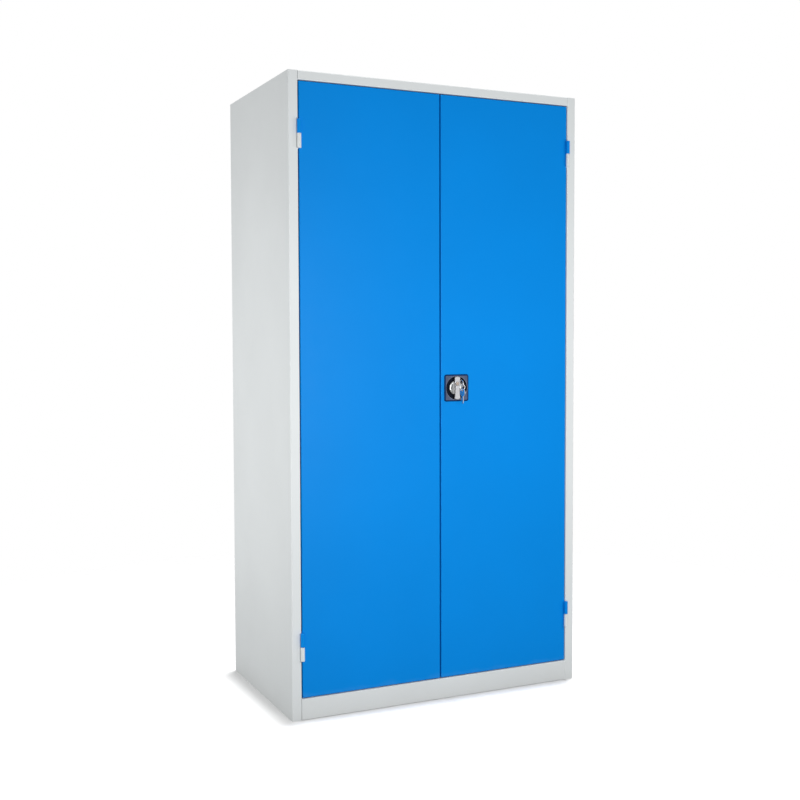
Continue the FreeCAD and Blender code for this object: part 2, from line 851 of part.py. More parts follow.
def bushes(x):
    """Plastic bushes in a door's upper and lower fold, flanged inside the door."""
    pair = []
    for edge, inward in ((door_top, -1), (door_bottom, 1)):
        inner = edge + inward * (sheet + bush_flange_thickness)
        flange_span = sorted((edge + inward * sheet, inner))
        low, high = sorted((edge, inner))
        wall = rod_bore + bush_wall
        body = rod(wall, "z", (x, rod_y, 0), (low, high))
        flange = rod(wall + bush_flange, "z", (x, rod_y, 0), flange_span)
        hole = rod(rod_bore, "z", (x, rod_y, 0), (low - overrun, high + overrun))
        pair.append(body.fuse(flange).cut(hole).removeSplitter())
    return pair


def bolt_ends(rise):
    """Inner end and tip of a hand bolt in the left door, drawn back."""
    tip = door_top + rod_proud if rise > 0 else door_bottom - rod_proud
    return tip - rise * bolt_length, tip


def hand_bolt(rise):
    """Round bolt with a knob that reaches into the cabinet."""
    start, tip = bolt_ends(rise)
    bar = rod(rod_radius, "z", (-bolt_offset, rod_y, 0), (min(start, tip), max(start, tip)))
    knob_z = guide_height_at(start, tip, bolt_knob_share)
    stem = rod(bolt_knob_radius, "y", (-bolt_offset, 0, knob_z), (rod_y, rod_y + bolt_knob_reach))
    head_y = (rod_y + bolt_knob_reach - bolt_knob_head, rod_y + bolt_knob_reach)
    head = rod(bolt_knob_head_radius, "y", (-bolt_offset, 0, knob_z), head_y)
    return bar.fuse([stem, head]).removeSplitter()


def bolt_guides():
    """Guides of the left door's two bolts."""
    guides = []
    for rise in (1, -1):
        start, tip = bolt_ends(rise)
        for share in bolt_guide_shares:
            guides.append(rod_guide(-bolt_offset, guide_height_at(start, tip, share)))
    return guides


def build_carcass():
    """Writes the welded carcass and what stays on it."""
    left = side_panel()
    save("left_side_panel", left)
    save("right_side_panel", mirrored(left))
    save("back_panel", back_panel())
    save("top_panel", top_panel())
    save("base_frame", base_frame())
    save("floor_panel", floor_panel())
    upright_places = {
        "front": post_back + front_upright_set + upright_width / 2,
        "rear": tray_back - rear_upright_set - upright_width / 2,
    }
    for name, y_middle in upright_places.items():
        channel = upright(y_middle)
        save("left_" + name + "_upright", channel)
        save("right_" + name + "_upright", mirrored(channel))
    clips = []
    for i, slot_number in enumerate(shelf_slot_numbers):
        save("shelf_" + str(i + 1), shelf(slot_number))
        for y_middle in upright_places.values():
            clip = shelf_clip(y_middle, slot_heights()[slot_number])
            clips += [clip, mirrored(clip)]
    save("shelf_clips", *clips)
    save("shelf_ribs", *[shelf_rib(n) for n in shelf_slot_numbers])
    save("door_buffers", *door_buffers())


def build_hinges():
    """Writes the hinges of both doors."""
    washers = []
    for side in ("left", "right"):
        turned = mirrored if side == "right" else (lambda shape: shape)
        save(side + "_frame_knuckles", *[turned(frame_knuckle(join)) for join in hinge_joins()])
        save(side + "_door_knuckles", *[turned(door_knuckle(join)) for join in hinge_joins()])
        save(side + "_hinge_pins", *[turned(hinge_pin(join)) for join in hinge_joins()])
        washers += [turned(hinge_washer(join)) for join in hinge_joins()]
    save("hinge_washers", *washers)


def build_doors():
    """Writes both doors and what is fixed to them."""
    rib = door_rib()
    save("left_door_skin", left_door_skin())
    save("right_door_skin", right_door_skin())
    save("left_door_rib", rib)
    save("right_door_rib", mirrored(rib))
    save("bolt_guides", *bolt_guides())
    save("bolt_bushes", *bushes(-bolt_offset))
    save("upper_bolt", hand_bolt(1))
    save("lower_bolt", hand_bolt(-1))
    save("rod_guides", *rod_guides())
    save("rod_bushes", *bushes(lock_offset))


def build_lock():
    """Writes the lock of the right door, with its rods and keys."""
    save("lock_dish", lock_dish())
    save("dish_screws", *dish_screws())
    save("turn_handle", turn_handle())
    save("lock_cam", lock_cam())
    save("cam_screw", cam_screw())
    save("lock_cylinder", lock_cylinder())
    save("cylinder_plug", cylinder_plug())
    save("inserted_key", inserted_key())
    save("key_ring", key_ring())
    save("spare_key", spare_key())
    save("upper_lock_rod", lock_rod(1))
    save("lower_lock_rod", lock_rod(-1))


os.makedirs("parts", exist_ok=True)
build_carcass()
build_hinges()
build_doors()
build_lock()
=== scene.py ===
"""Looks of a steel tool cabinet with two blue doors: powder coat, zinc, chrome and plastic
surfaces, the finer forms of the lock, keys and small fittings, and a white studio."""

import math

import bmesh
import bpy
import numpy as np
from mathutils import Matrix, Vector


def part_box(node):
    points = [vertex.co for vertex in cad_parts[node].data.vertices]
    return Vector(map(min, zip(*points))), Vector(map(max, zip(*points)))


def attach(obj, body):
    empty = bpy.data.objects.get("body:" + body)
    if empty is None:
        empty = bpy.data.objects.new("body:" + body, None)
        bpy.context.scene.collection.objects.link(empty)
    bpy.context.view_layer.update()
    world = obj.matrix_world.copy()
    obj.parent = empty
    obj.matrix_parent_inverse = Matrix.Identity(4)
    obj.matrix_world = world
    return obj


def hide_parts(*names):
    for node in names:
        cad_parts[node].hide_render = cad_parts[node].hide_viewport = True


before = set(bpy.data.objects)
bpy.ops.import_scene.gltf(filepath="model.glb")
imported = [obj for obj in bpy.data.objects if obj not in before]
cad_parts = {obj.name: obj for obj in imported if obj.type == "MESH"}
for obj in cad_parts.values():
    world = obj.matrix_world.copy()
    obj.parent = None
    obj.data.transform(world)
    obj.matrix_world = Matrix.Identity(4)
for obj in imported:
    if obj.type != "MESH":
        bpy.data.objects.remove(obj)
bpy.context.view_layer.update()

bl_info = {
    "name": "Tool cabinet looks",
    "version": (1, 0, 0),
    "blender": (4, 5, 0),
    "location": "View3D > Sidebar > Cabinet",
    "description": "Materials, fine pieces and a studio for a steel tool cabinet",
    "category": "Object",
}

MM = 0.001
NODE_MERGE = MM / 1000
PIECE_MERGE = MM / 500
SHARP_ANGLE = math.radians(35)
NEARLY_ALONG = 0.9

CARCASS_NODES = (
    "left_side_panel", "right_side_panel", "top_panel", "back_panel", "base_frame", "floor_panel",
    "left_front_upright", "left_rear_upright", "right_front_upright", "right_rear_upright",
    "shelf_1", "shelf_2", "shelf_3", "shelf_4", "shelf_ribs", "left_frame_knuckles", "right_frame_knuckles",
)
DOOR_NODES = (
    "left_door_skin", "right_door_skin", "left_door_rib", "right_door_rib",
    "left_door_knuckles", "right_door_knuckles",
)
ZINC_NODES = (
    "shelf_clips", "left_hinge_pins", "right_hinge_pins", "lock_cam", "upper_lock_rod", "lower_lock_rod",
    "upper_bolt", "lower_bolt", "rod_guides", "bolt_guides", "hinge_washers",
)


def node_islands(name):
    """Lowest and highest corner of each separate solid of a CAD node."""
    copy = bmesh.new()
    copy.from_mesh(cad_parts[name].data)
    bmesh.ops.remove_doubles(copy, verts=copy.verts, dist=NODE_MERGE)
    seen = set()
    found = []
    for start in copy.verts:
        if start in seen:
            continue
        group = []
        ahead = [start]
        seen.add(start)
        while ahead:
            vert = ahead.pop()
            group.append(vert.co.copy())
            for edge in vert.link_edges:
                other = edge.other_vert(vert)
                if other not in seen:
                    seen.add(other)
                    ahead.append(other)
        corners = np.array(group)
        found.append((Vector(corners.min(axis=0)), Vector(corners.max(axis=0))))
    copy.free()
    return found


def door_front():
    """Place of the doors' front face on the depth axis."""
    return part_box("right_door_skin")[0].y


def closed_mesh(name, sheets):
    """One mesh from a list of closed grids. A grid is an array of rows of points.
    Rows join to the next row, and each row closes on itself. The first and last rows are
    joined too if the grid is a ring, and are filled if it isn't."""
    mesh = bpy.data.meshes.new(name)
    points = []
    faces = []
    for grid, ring in sheets:
        rows, columns = grid.shape[:2]
        index = len(points) + np.arange(rows * columns).reshape(rows, columns)
        points.extend(grid.reshape(-1, 3).tolist())
        below = index if ring else index[:-1]
        above = np.roll(index, -1, axis=0)[:len(below)]
        corners = [below, np.roll(below, -1, axis=1), np.roll(above, -1, axis=1), above]
        faces.extend(np.stack(corners, axis=-1).reshape(-1, 4).tolist())
        if not ring:
            faces.append(index[0][::-1].tolist())
            faces.append(index[-1].tolist())
    mesh.from_pydata(points, [], faces)
    work = bmesh.new()
    work.from_mesh(mesh)
    bmesh.ops.remove_doubles(work, verts=work.verts, dist=PIECE_MERGE)
    bmesh.ops.recalc_face_normals(work, faces=work.faces)
    work.to_mesh(mesh)
    work.free()
    return mesh


def bored(mesh, bore):
    """The mesh with the inside of a closed grid cut out of it."""
    whole = bpy.data.objects.new("whole", mesh)
    tool = bpy.data.objects.new("tool", closed_mesh("tool", [(bore, True)]))
    for item in (whole, tool):
        bpy.context.scene.collection.objects.link(item)
    cut = whole.modifiers.new("bore", "BOOLEAN")
    cut.operation = "DIFFERENCE"
    cut.solver = "EXACT"
    cut.object = tool
    cut_whole = whole.evaluated_get(bpy.context.evaluated_depsgraph_get())
    result = bpy.data.meshes.new_from_object(cut_whole)
    # An object goes with its mesh
    for item in (whole, tool):
        bpy.data.meshes.remove(item.data)
    return result


def make_piece(name, sheets, material, body, node=None, bore=None):
    """One smooth piece from a list of closed grids, with the grid called bore cut out. It
    rides on a body and may take the place of a CAD node."""
    mesh = closed_mesh(name, sheets)
    if bore is not None:
        mesh = bored(mesh, bore)
        mesh.name = name
    mesh.shade_smooth()
    mesh.set_sharp_from_angle(angle=SHARP_ANGLE)
    piece = bpy.data.objects.new(name, mesh)
    bpy.context.scene.collection.objects.link(piece)
    mesh.materials.append(material)
    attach(piece, body)
    if node:
        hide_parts(node)


def full_turn(steps):
    """Angles of a whole turn in even steps."""
    return np.arange(steps) * 2 * math.pi / steps


def around(centre, angle, radius, y):
    """Points (cx + r cos a, y, cz + r sin a) round an axis along Y through centre."""
    x = centre[0] + radius * np.cos(angle)
    z = centre[2] + radius * np.sin(angle)
    return np.stack(np.broadcast_arrays(x, y, z), axis=-1)


def circle(radius, y):
    """Station of a turned piece with a round outline."""
    return "circle", radius, y


def square(half, y):
    """Station of a turned piece with the outline of a rounded square."""
    return "square", half, y


def arc_stations(form, size, y, radius, start, end, count):
    """Stations along a round from one angle to another, in degrees. At angle a the station
    is (size + radius cos a, y + radius sin a)."""
    angles = np.radians(np.linspace(start, end, count))
    return [form(size + radius * math.cos(a), y + radius * math.sin(a)) for a in angles]


def square_radius(angle, half, corner):
    """Distance from the middle of a rounded square to its edge, seen at an angle. On a side
    it is half / cos(angle); at a corner it is where the ray meets the corner's circle."""
    across = np.abs(np.cos(angle))
    along = np.abs(np.sin(angle))
    side = half / np.maximum(across, along)
    core = half - corner
    reach = core * (across + along)
    inside = np.maximum(reach**2 - (2 * core**2 - corner**2), 0)
    at_corner = (side * np.minimum(across, along)) > core
    return np.where(at_corner, reach + np.sqrt(inside), side)


def turned(stations, centre, steps, corner=0.0):
    """Rows of points round an axis along Y through centre, one row for each station."""
    angle = full_turn(steps)
    radii = []
    for form, size, y in stations:
        radii.append(square_radius(angle, size, corner) if form == "square" else np.full(steps, size))
    depths = np.array([y for form, size, y in stations])
    return around(centre, angle, np.array(radii), depths[:, None])


def swept(path, radii, steps, flat=1.0):
    """Rows of points round a path. Row i is path[i] + radii[i] (cos a side + flat sin a up).
    Side is square to the path and to Y, or to X where the path starts nearly along Y."""
    path = np.asarray(path, float)
    ahead = np.gradient(path, axis=0)
    ahead /= np.linalg.norm(ahead, axis=1)[:, None]
    guide = (0.0, 1.0, 0.0) if abs(ahead[0][1]) < NEARLY_ALONG else (1.0, 0.0, 0.0)
    side = np.cross(ahead, guide)
    side /= np.linalg.norm(side, axis=1)[:, None]
    up = np.cross(side, ahead)
    angle = full_turn(steps)
    across = np.cos(angle)[None, :, None] * side[:, None, :]
    along = flat * np.sin(angle)[None, :, None] * up[:, None, :]
    return path[:, None, :] + np.asarray(radii)[:, None, None] * (across + along)


class Nodes:
    """A material's node tree, with short calls for the nodes used here."""

    def __init__(self, start):
        """Starts a material of that name, or goes on with a material that is there."""
        self.material = bpy.data.materials.new(start) if isinstance(start, str) else start
        self.material.use_nodes = True
        self.tree = self.material.node_tree
        self.shader = next(n for n in self.tree.nodes if n.type == "BSDF_PRINCIPLED")
        self.output = next(n for n in self.tree.nodes if n.type == "OUTPUT_MATERIAL")
        self.place = self.add("ShaderNodeTexCoord").outputs["Object"]

    def add(self, kind, **values):
        """A new node of that kind, with its own values set."""
        node = self.tree.nodes.new(kind)
        for key, value in values.items():
            setattr(node, key, value)
        return node

    def join(self, start, end):
        """Links an output to an input."""
        self.tree.links.new(start, end)

    def stretched(self, scale):
        """The piece's own coordinates, scaled on each axis. A small scale draws a pattern
        out into lines along that axis."""
        node = self.add("ShaderNodeMapping")
        node.inputs["Scale"].default_value = scale
        self.join(self.place, node.inputs["Vector"])
        return node.outputs["Vector"]

    def noise(self, size, detail=2.0, place=None, distortion=0.0):
        """Smooth noise whose lumps are about size metres wide."""
        node = self.add("ShaderNodeTexNoise")
        node.inputs["Scale"].default_value = 1 / size
        node.inputs["Detail"].default_value = detail
        node.inputs["Distortion"].default_value = distortion
        self.join(place or self.place, node.inputs["Vector"])
        return node.outputs["Fac"]

    def cells(self, size):
        """Distance to the middle of cells about size metres wide."""
        node = self.add("ShaderNodeTexVoronoi")
        node.inputs["Scale"].default_value = 1 / size
        self.join(self.place, node.inputs["Vector"])
        return node.outputs["Distance"]

    def remap(self, value, low=0.3, high=0.7, to_low=0.0, to_high=1.0):
        """A value carried from the range low to high into another range, and kept in it.
        Most of a noise lies between 0.3 and 0.7."""
        node = self.add("ShaderNodeMapRange")
        node.inputs["From Min"].default_value = low
        node.inputs["From Max"].default_value = high
        node.inputs["To Min"].default_value = to_low
        node.inputs["To Max"].default_value = to_high
        self.join(value, node.inputs["Value"])
        return node.outputs["Result"]

    def maths(self, operation, first, second=0.0):
        """The result of an operation on two values, each a socket or a number."""
        node = self.add("ShaderNodeMath", operation=operation)
        for socket, value in zip(node.inputs, (first, second)):
            if isinstance(value, (int, float)):
                socket.default_value = value
            else:
                self.join(value, socket)
        return node.outputs["Value"]

    def mix(self, factor, first, second):
        """A colour between two colours, each a socket or a plain colour."""
        node = self.add("ShaderNodeMix", data_type="RGBA")
        sockets = [s for s in node.inputs if s.type == "RGBA"]
        for socket, value in zip(sockets, (first, second)):
            if isinstance(value, bpy.types.NodeSocket):
                self.join(value, socket)
            else:
                socket.default_value = (*value[:3], 1.0)
        self.join(factor, node.inputs["Factor"])
        return next(s for s in node.outputs if s.type == "RGBA")

    def shades(self, factor, colour, darker, paler):
        """A colour that wanders between a darker and a paler shade of itself."""
        return self.mix(factor, scaled(colour, darker), scaled(colour, paler))

    def uneven(self, roughness, size, detail, less, more):
        """A roughness that wanders from a little less to a little more."""
        return self.remap(self.noise(size, detail), to_low=roughness - less, to_high=roughness + more)

    def bump(self, height, depth, under=None):
        """Relief of a height map, depth metres deep, on top of another relief."""
        node = self.add("ShaderNodeBump")
        node.inputs["Strength"].default_value = 1.0
        node.inputs["Distance"].default_value = depth
        self.join(height, node.inputs["Height"])
        if under:
            self.join(under, node.inputs["Normal"])
        return node.outputs["Normal"]

    def edge_mask(self, radius, share=1.0):
        """Up to share along sharp edges and 0 on flats: how far a rounded normal leans from
        the true one, by the cosine of the angle between them."""
        bevel = self.add("ShaderNodeBevel", samples=4)
        bevel.inputs["Radius"].default_value = radius
        face = self.add("ShaderNodeNewGeometry").outputs["Normal"]
        dot = self.add("ShaderNodeVectorMath", operation="DOT_PRODUCT")
        self.join(bevel.outputs["Normal"], dot.inputs[0])
        self.join(face, dot.inputs[1])
        return self.remap(dot.outputs["Value"], low=0.995, high=0.85, to_high=share)

    def split(self, vector=None):
        """X, Y and Z of a vector, or of the piece's own coordinates, in metres."""
        node = self.add("ShaderNodeSeparateXYZ")
        self.join(vector or self.place, node.inputs["Vector"])
        return node.outputs

    def feeding(self, name):
        """The socket that is linked to one of the shader's inputs."""
        return self.shader.inputs[name].links[0].from_socket

    def set(self, **values):
        """Gives shader inputs a plain value or a socket; names use _ for a space."""
        for key, value in values.items():
            socket = self.shader.inputs[key.replace("_", " ")]
            if isinstance(value, bpy.types.NodeSocket):
                self.join(value, socket)
            else:
                socket.default_value = value
        return self.material


# Colours and places inside the finishes
DUST_COLOUR = (0.50, 0.48, 0.45)
DUST_FULL_HEIGHT = 30 * MM
DUST_TOP_HEIGHT = 110 * MM
DUST_RAGGED_HEIGHT = 50 * MM
DUST_ROUGHNESS = 0.10
ZINC_BLUISH = (0.62, 0.66, 0.70)
ZINC_YELLOWISH = (0.72, 0.69, 0.60)
ZINC_SPANGLE = (0.50, 0.51, 0.53)
ZINC_RUBBED = (0.85, 0.85, 0.85)
LINES_UPRIGHT = (1.0, 1.0, 0.04)
LINES_POLISHED = (1.0, 0.3, 0.12)
KEY_LINES_INWARD = (1.0, 0.05, 1.0)
KEY_LINES_UPRIGHT = (1.0, 1.0, 0.05)
NO_LINES = (1.0, 1.0, 1.0)


def scaled(colour, factor):
    """A colour made lighter or darker, kept between 0 and 1."""
    return tuple(min(1.0, max(0.0, c * factor)) for c in colour[:3])


def paled(colour, share, white):
    """That share of a colour with some white on top."""
    return [c * share + white for c in colour[:3]]


def powder_coat(name, colour, paint):
    """Baked paint: orange peel, slow sheen changes, a thinner paler coat on cut edges, and
    a little dust near the floor."""
    n = Nodes(name)
    drift = n.remap(n.noise(size=0.35, detail=3.0))
    tone = n.shades(drift, colour, darker=0.975, paler=1.025)
    grain = n.remap(n.noise(size=1.2 * MM, detail=1.0), low=0.45, high=0.75, to_high=0.10)
    tone = n.mix(grain, tone, scaled(colour, factor=1.25))
    thin = n.remap(n.noise(size=20 * MM, detail=4.0), low=0.35, to_low=0.1, to_high=0.8)
    wear_and_highlight = n.maths("MULTIPLY", n.edge_mask(0.9 * MM, paint.edge_wear), thin)
    tone = n.mix(wear_and_highlight, tone, paled(colour, share=0.6, white=0.4))
    ragged = n.maths("MULTIPLY", n.noise(size=60 * MM, detail=5.0), DUST_RAGGED_HEIGHT)
    height = n.maths("ADD", n.split()["Z"], ragged)
    dust = n.remap(height, low=DUST_FULL_HEIGHT, high=DUST_TOP_HEIGHT, to_low=1.0, to_high=0.0)
    tone = n.mix(n.maths("MULTIPLY", dust, paint.dust), tone, DUST_COLOUR)
    relief = n.bump(n.noise(size=0.22), paint.sheet_wave)
    relief = n.bump(n.noise(paint.peel_size), paint.peel_depth, relief)
    sheen = n.uneven(paint.roughness, size=50 * MM, detail=3.0, less=0.03, more=0.04)
    sheen = n.maths("ADD", sheen, n.maths("MULTIPLY", dust, DUST_ROUGHNESS))
    return n.set(Base_Color=tone, Roughness=sheen, Normal=relief, Specular_IOR_Level=paint.gloss)


def zinc_plate(name, metal):
    """Bright zinc: faint spangle, a blue-yellow passivation tint, and fine drawn lines."""
    n = Nodes(name)
    tint = n.remap(n.noise(size=18 * MM, detail=3.0), low=0.35, high=0.65)
    tone = n.mix(tint, ZINC_BLUISH, ZINC_YELLOWISH)
    tone = n.mix(n.remap(n.cells(size=4 * MM), low=0.0, high=0.6, to_high=0.35), tone, ZINC_SPANGLE)
    tone = n.mix(n.edge_mask(0.6 * MM, share=0.5), tone, ZINC_RUBBED)
    lines = n.noise(size=0.6 * MM, place=n.stretched(LINES_UPRIGHT))
    relief = n.bump(lines, depth=0.03 * MM)
    rough = n.uneven(metal.zinc_roughness, size=10 * MM, detail=3.0, less=0.06, more=0.08)
    return n.set(Base_Color=tone, Metallic=1.0, Roughness=rough, Normal=relief)


def polished(name, colour, roughness, metal):
    """Plated die casting: nearly mirror, with soft waves from polishing and hairline marks."""
    n = Nodes(name)
    marks = n.noise(size=0.5 * MM, detail=3.0, place=n.stretched(LINES_POLISHED), distortion=0.6)
    smudge = n.remap(n.noise(size=12 * MM, detail=4.0), low=0.4, high=0.75, to_high=metal.smudge)
    scratched = n.remap(marks, low=0.45, to_low=roughness, to_high=roughness + 0.07)
    rough = n.maths("ADD", smudge, scratched)
    relief = n.bump(n.noise(size=12 * MM, detail=1.0), depth=0.08 * MM)
    relief = n.bump(marks, depth=0.006 * MM, under=relief)
    drift = n.remap(n.noise(size=6 * MM, detail=3.0))
    tone = n.shades(drift, colour, darker=0.92, paler=1.04)
    return n.set(Base_Color=tone, Metallic=1.0, Roughness=rough, Normal=relief)


def milled(name, colour, stretch, roughness, depth=0.01 * MM):
    """Stamped and milled metal with fine lines along one axis, brighter on its edges."""
    n = Nodes(name)
    lines = n.noise(size=0.4 * MM, place=n.stretched(stretch))
    tone = n.shades(n.remap(lines), colour, darker=0.86, paler=1.06)
    tone = n.mix(n.edge_mask(0.4 * MM, share=0.6), tone, scaled(colour, factor=1.3))
    rough = n.uneven(roughness, size=4 * MM, detail=3.0, less=roughness * 0.2, more=roughness * 0.4)
    return n.set(Base_Color=tone, Metallic=1.0, Roughness=rough, Normal=n.bump(lines, depth))


def moulded(name, colour, roughness, grain_size, grain_depth):
    """Moulded plastic or rubber: spark grain, slight colour drift and scuffed edges."""
    n = Nodes(name)
    drift = n.remap(n.noise(size=10 * MM, detail=3.0))
    tone = n.shades(drift, colour, darker=0.85, paler=1.15)
    patches = n.remap(n.noise(size=3 * MM, detail=4.0), high=0.8, to_high=0.5)
    scuffs = n.maths("MULTIPLY", n.edge_mask(0.8 * MM), patches)
    tone = n.mix(scuffs, tone, paled(colour, share=0.7, white=0.12))
    rough = n.uneven(roughness, size=3 * MM, detail=4.0, less=0.05, more=0.08)
    return n.set(Base_Color=tone, Roughness=rough, Normal=n.bump(n.cells(grain_size), grain_depth))


def dress(name, material):
    """Gives a CAD node one material and no other."""
    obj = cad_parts[name]
    obj.data.materials.clear()
    obj.data.materials.append(material)


def colour_setting(label, about, value):
    return bpy.props.FloatVectorProperty(
        name=label, description=about, default=value, subtype="COLOR", size=3, min=0.0, max=1.0)


def length_setting(label, about, value):
    return bpy.props.FloatProperty(
        name=label, description=about, default=value, unit="LENGTH", precision=6, min=0.0)


def share_setting(label, about, value):
    return bpy.props.FloatProperty(
        name=label, description=about, default=value, subtype="FACTOR", min=0.0, max=1.0)


def place_setting(label, about, value):
    return bpy.props.FloatVectorProperty(
        name=label, description=about, default=value, unit="LENGTH", size=3)


def angle_setting(label, about, degrees):
    return bpy.props.FloatProperty(
        name=label, description=about, default=math.radians(degrees), unit="ROTATION")


def power_setting(label, about, value):
    return bpy.props.FloatProperty(name=label, description=about, default=value, unit="POWER")


class CabinetPaint(bpy.types.PropertyGroup):
    """Colours and surface of the powder coat."""

    body_colour: colour_setting("Body colour", "Light grey of the carcass", (0.71, 0.74, 0.745))
    door_colour: colour_setting("Door colour", "Blue of the doors", (0.0, 0.232, 0.71))
    roughness: share_setting("Roughness", "Blur of the reflections", 0.42)
    gloss: share_setting("Gloss", "Strength of the reflections", 0.09)
    peel_size: length_setting("Peel size", "Width of the orange peel's lumps", 0.0028)
    peel_depth: length_setting("Peel depth", "Depth of the orange peel", 0.00005)
    sheet_wave: length_setting("Sheet wave", "Depth of the sheet's slow waves", 0.0008)
    edge_wear: share_setting("Edge wear", "How pale cut edges get", 0.35)
    dust: share_setting("Dust", "Dust near the floor", 0.12)


class CabinetMetal(bpy.types.PropertyGroup):
    """Surface of the bare and plated metal."""

    handle_colour: colour_setting("Handle colour", "Chrome of the turn handle", (0.60, 0.61, 0.64))
    handle_roughness: share_setting("Handle roughness", "Blur of the handle's reflections", 0.12)
    hub_colour: colour_setting("Hub colour", "Brushed steel of the handle's hub", (0.30, 0.31, 0.31))
    hub_roughness: share_setting("Hub roughness", "Blur of the hub's reflections", 0.12)
    # Painted shade: the grip's sides take this dark colour for the shade on them; only their higher
    # roughness is a real satin finish
    painted_shade_side_colour: colour_setting("Grip side colour", "Satin sides of the grip", (0.25, 0.245, 0.255))
    cylinder_colour: colour_setting("Cylinder colour", "Chrome of the lock cylinder", (0.42, 0.38, 0.34))
    cylinder_roughness: share_setting("Cylinder roughness", "Blur of the cylinder's reflections", 0.10)
    plug_colour: colour_setting("Plug colour", "Nickelled brass of the plug", (0.25, 0.20, 0.17))
    key_colour: colour_setting("Key colour", "Nickel of the keys", (0.62, 0.63, 0.64))
    key_roughness: share_setting("Key roughness", "Blur of the keys' reflections", 0.20)
    ring_colour: colour_setting("Ring colour", "Steel of the split ring", (0.70, 0.70, 0.70))
    ring_roughness: share_setting("Ring roughness", "Blur of the split ring's reflections", 0.15)
    zinc_roughness: share_setting("Zinc roughness", "Blur of the zinc plate", 0.36)
    smudge: share_setting("Smudge", "Finger marks on the chrome", 0.05)


class CabinetPlastic(bpy.types.PropertyGroup):
    """Surface of the plastic and rubber fittings."""

    nylon_colour: colour_setting("Nylon colour", "Black of the bushes", (0.03, 0.03, 0.03))
    nylon_roughness: share_setting("Nylon roughness", "Blur of the bushes' reflections", 0.5)
    rubber_colour: colour_setting("Rubber colour", "Black of the buffer pads", (0.02, 0.02, 0.02))
    rubber_roughness: share_setting("Rubber roughness", "Blur of the pads' reflections", 0.7)


class CabinetLock(bpy.types.PropertyGroup):
    """Colours and fine sizes of the lock."""

    dish_colour: colour_setting("Dish colour", "Grey of the dish's face", (0.082, 0.103, 0.168))
    # Painted shade and reflection: a navy band for the dish's sloping edge in shade, mirroring the blue
    # door
    painted_shade_border_colour: colour_setting("Border colour", "Dark band round the dish", (0.0, 0.022, 0.095))
    # Painted shade: near black inside of the dish, standing for the shade in its recess
    painted_shade_recess_colour: colour_setting("Recess colour", "Inside of the dish", (0.004, 0.007, 0.018))
    # Painted highlight: a pale ring on the lip of the recess, standing for the lip's highlight
    painted_highlight_lip_colour: colour_setting("Lip colour", "Worn lip of the recess", (0.36, 0.38, 0.44))
    border: length_setting("Border", "Width of the dark band", 0.0045)
    dish_roughness: share_setting("Dish roughness", "Blur of the dish's reflections", 0.42)
    dish_gloss: share_setting("Dish gloss", "Strength of the dish's reflections", 0.08)
    dish_round: length_setting("Dish edge", "Rounding of the dish plate's edge", 0.0016)
    dish_corner: length_setting("Dish corner", "Corner radius of the dish plate", 0.007)
    recess: length_setting("Recess", "Radius of the dish's recess", 0.0372)
    lip_round: length_setting("Lip", "Rounding of the recess's lip", 0.0009)
    hub_round: length_setting("Hub rounding", "Rounding of the hub's rim", 0.0045)
    grip_round: length_setting("Grip rounding", "Rounding of the grip's edges", 0.0004)
    grip_corner: length_setting("Grip corner", "Corner radius at the grip's ends", 0.0035)
    ring_wire: length_setting("Ring wire", "Thickness of the split ring's wire", 0.0008)


class CabinetStage(bpy.types.PropertyGroup):
    """Camera, lights and floor."""

    camera_place: place_setting("Camera place", "Where the camera stands", (-1.6337, -3.5804, 1.1815))
    camera_yaw: angle_setting("Yaw", "Turn to the right of the depth axis", 26.006)
    camera_pitch: angle_setting("Pitch", "Tilt below the horizon", 2.854)
    camera_roll: angle_setting("Roll", "Lean about the view", -0.082)
    lens: bpy.props.FloatProperty(
        name="Lens", description="Focal length on a 36 mm sensor", default=52.115, unit="CAMERA")
    shift: bpy.props.FloatVectorProperty(
        name="Shift", description="Off-centre crop of the photo, as shares of its width",
        default=(-0.0387, -0.0146), size=2)
    front_place: place_setting("Front light place", "Before the left door", (-0.34, -2.4, 1.02))
    front_target: place_setting("Front light target", "Where it points", (-0.34, 0.0, 1.02))
    front_size: length_setting("Front light size", "Width of the square light", 1.0)
    front_power: power_setting("Front light", "Power of the light before the left door", 33.5)
    front_mirrored: bpy.props.BoolProperty(
        name="Front light mirrored", description="Whether it shows in shiny metal", default=True)
    right_place: place_setting("Right light place", "At the front right", (1.5, -1.8, 1.15))
    right_target: place_setting("Right light target", "Where it points", (0.1, -0.3, 1.15))
    right_size: length_setting("Right light size", "Width of the square light", 0.6)
    right_power: power_setting("Right light", "Power of the light at the front right", 10.0)
    right_mirrored: bpy.props.BoolProperty(
        name="Right light mirrored", description="Whether it shows in shiny metal", default=False)
    side_place: place_setting("Side light place", "At the left", (-2.4, 0.15, 0.95))
    side_target: place_setting("Side light target", "Where it points", (-0.5, 0.1, 0.95))
    side_size: length_setting("Side light size", "Width of the square light", 1.4)
    side_power: power_setting("Side light", "Power of the light at the left", 28.0)
    side_mirrored: bpy.props.BoolProperty(
        name="Side light mirrored", description="Whether it shows in shiny metal", default=True)
    overhead: bpy.props.FloatProperty(
        name="Overhead light", description="Strength of the light from above, in W/m2", default=2.8)
    overhead_lean: angle_setting("Overhead lean", "Lean of the light from above", 1.5)
    overhead_blur: angle_setting("Overhead blur", "Width of the light from above, as an angle", 2.4)
    sky: bpy.props.FloatProperty(
        name="Sky", description="Strength of the light from all round", default=0.27)
    floor_reach: length_setting("Floor reach", "Distance at which the floor fades out", 2.4)
    floor_tone: share_setting("Floor tone", "Share of light that the camera sees from the floor", 0.84)
    floor_bounce: share_setting("Floor bounce", "Share of light that the floor sends back up", 0.21)


def settings(kind):
    """One group of the scene's settings."""
    return getattr(bpy.context.scene, kind)


# Stage: the camera's sensor, the lights and the floor
SENSOR_WIDTH_MM = 36.0
FORWARD_LEAN_SHARE = 0.7
WHITE = (1.0, 1.0, 1.0, 1.0)
WHITE_STRENGTH = 1.0
FLOOR_ROUGHNESS = 0.8
FLOOR_STEPS = 96
FLOOR_OVERRUN_SHARE = 1.05


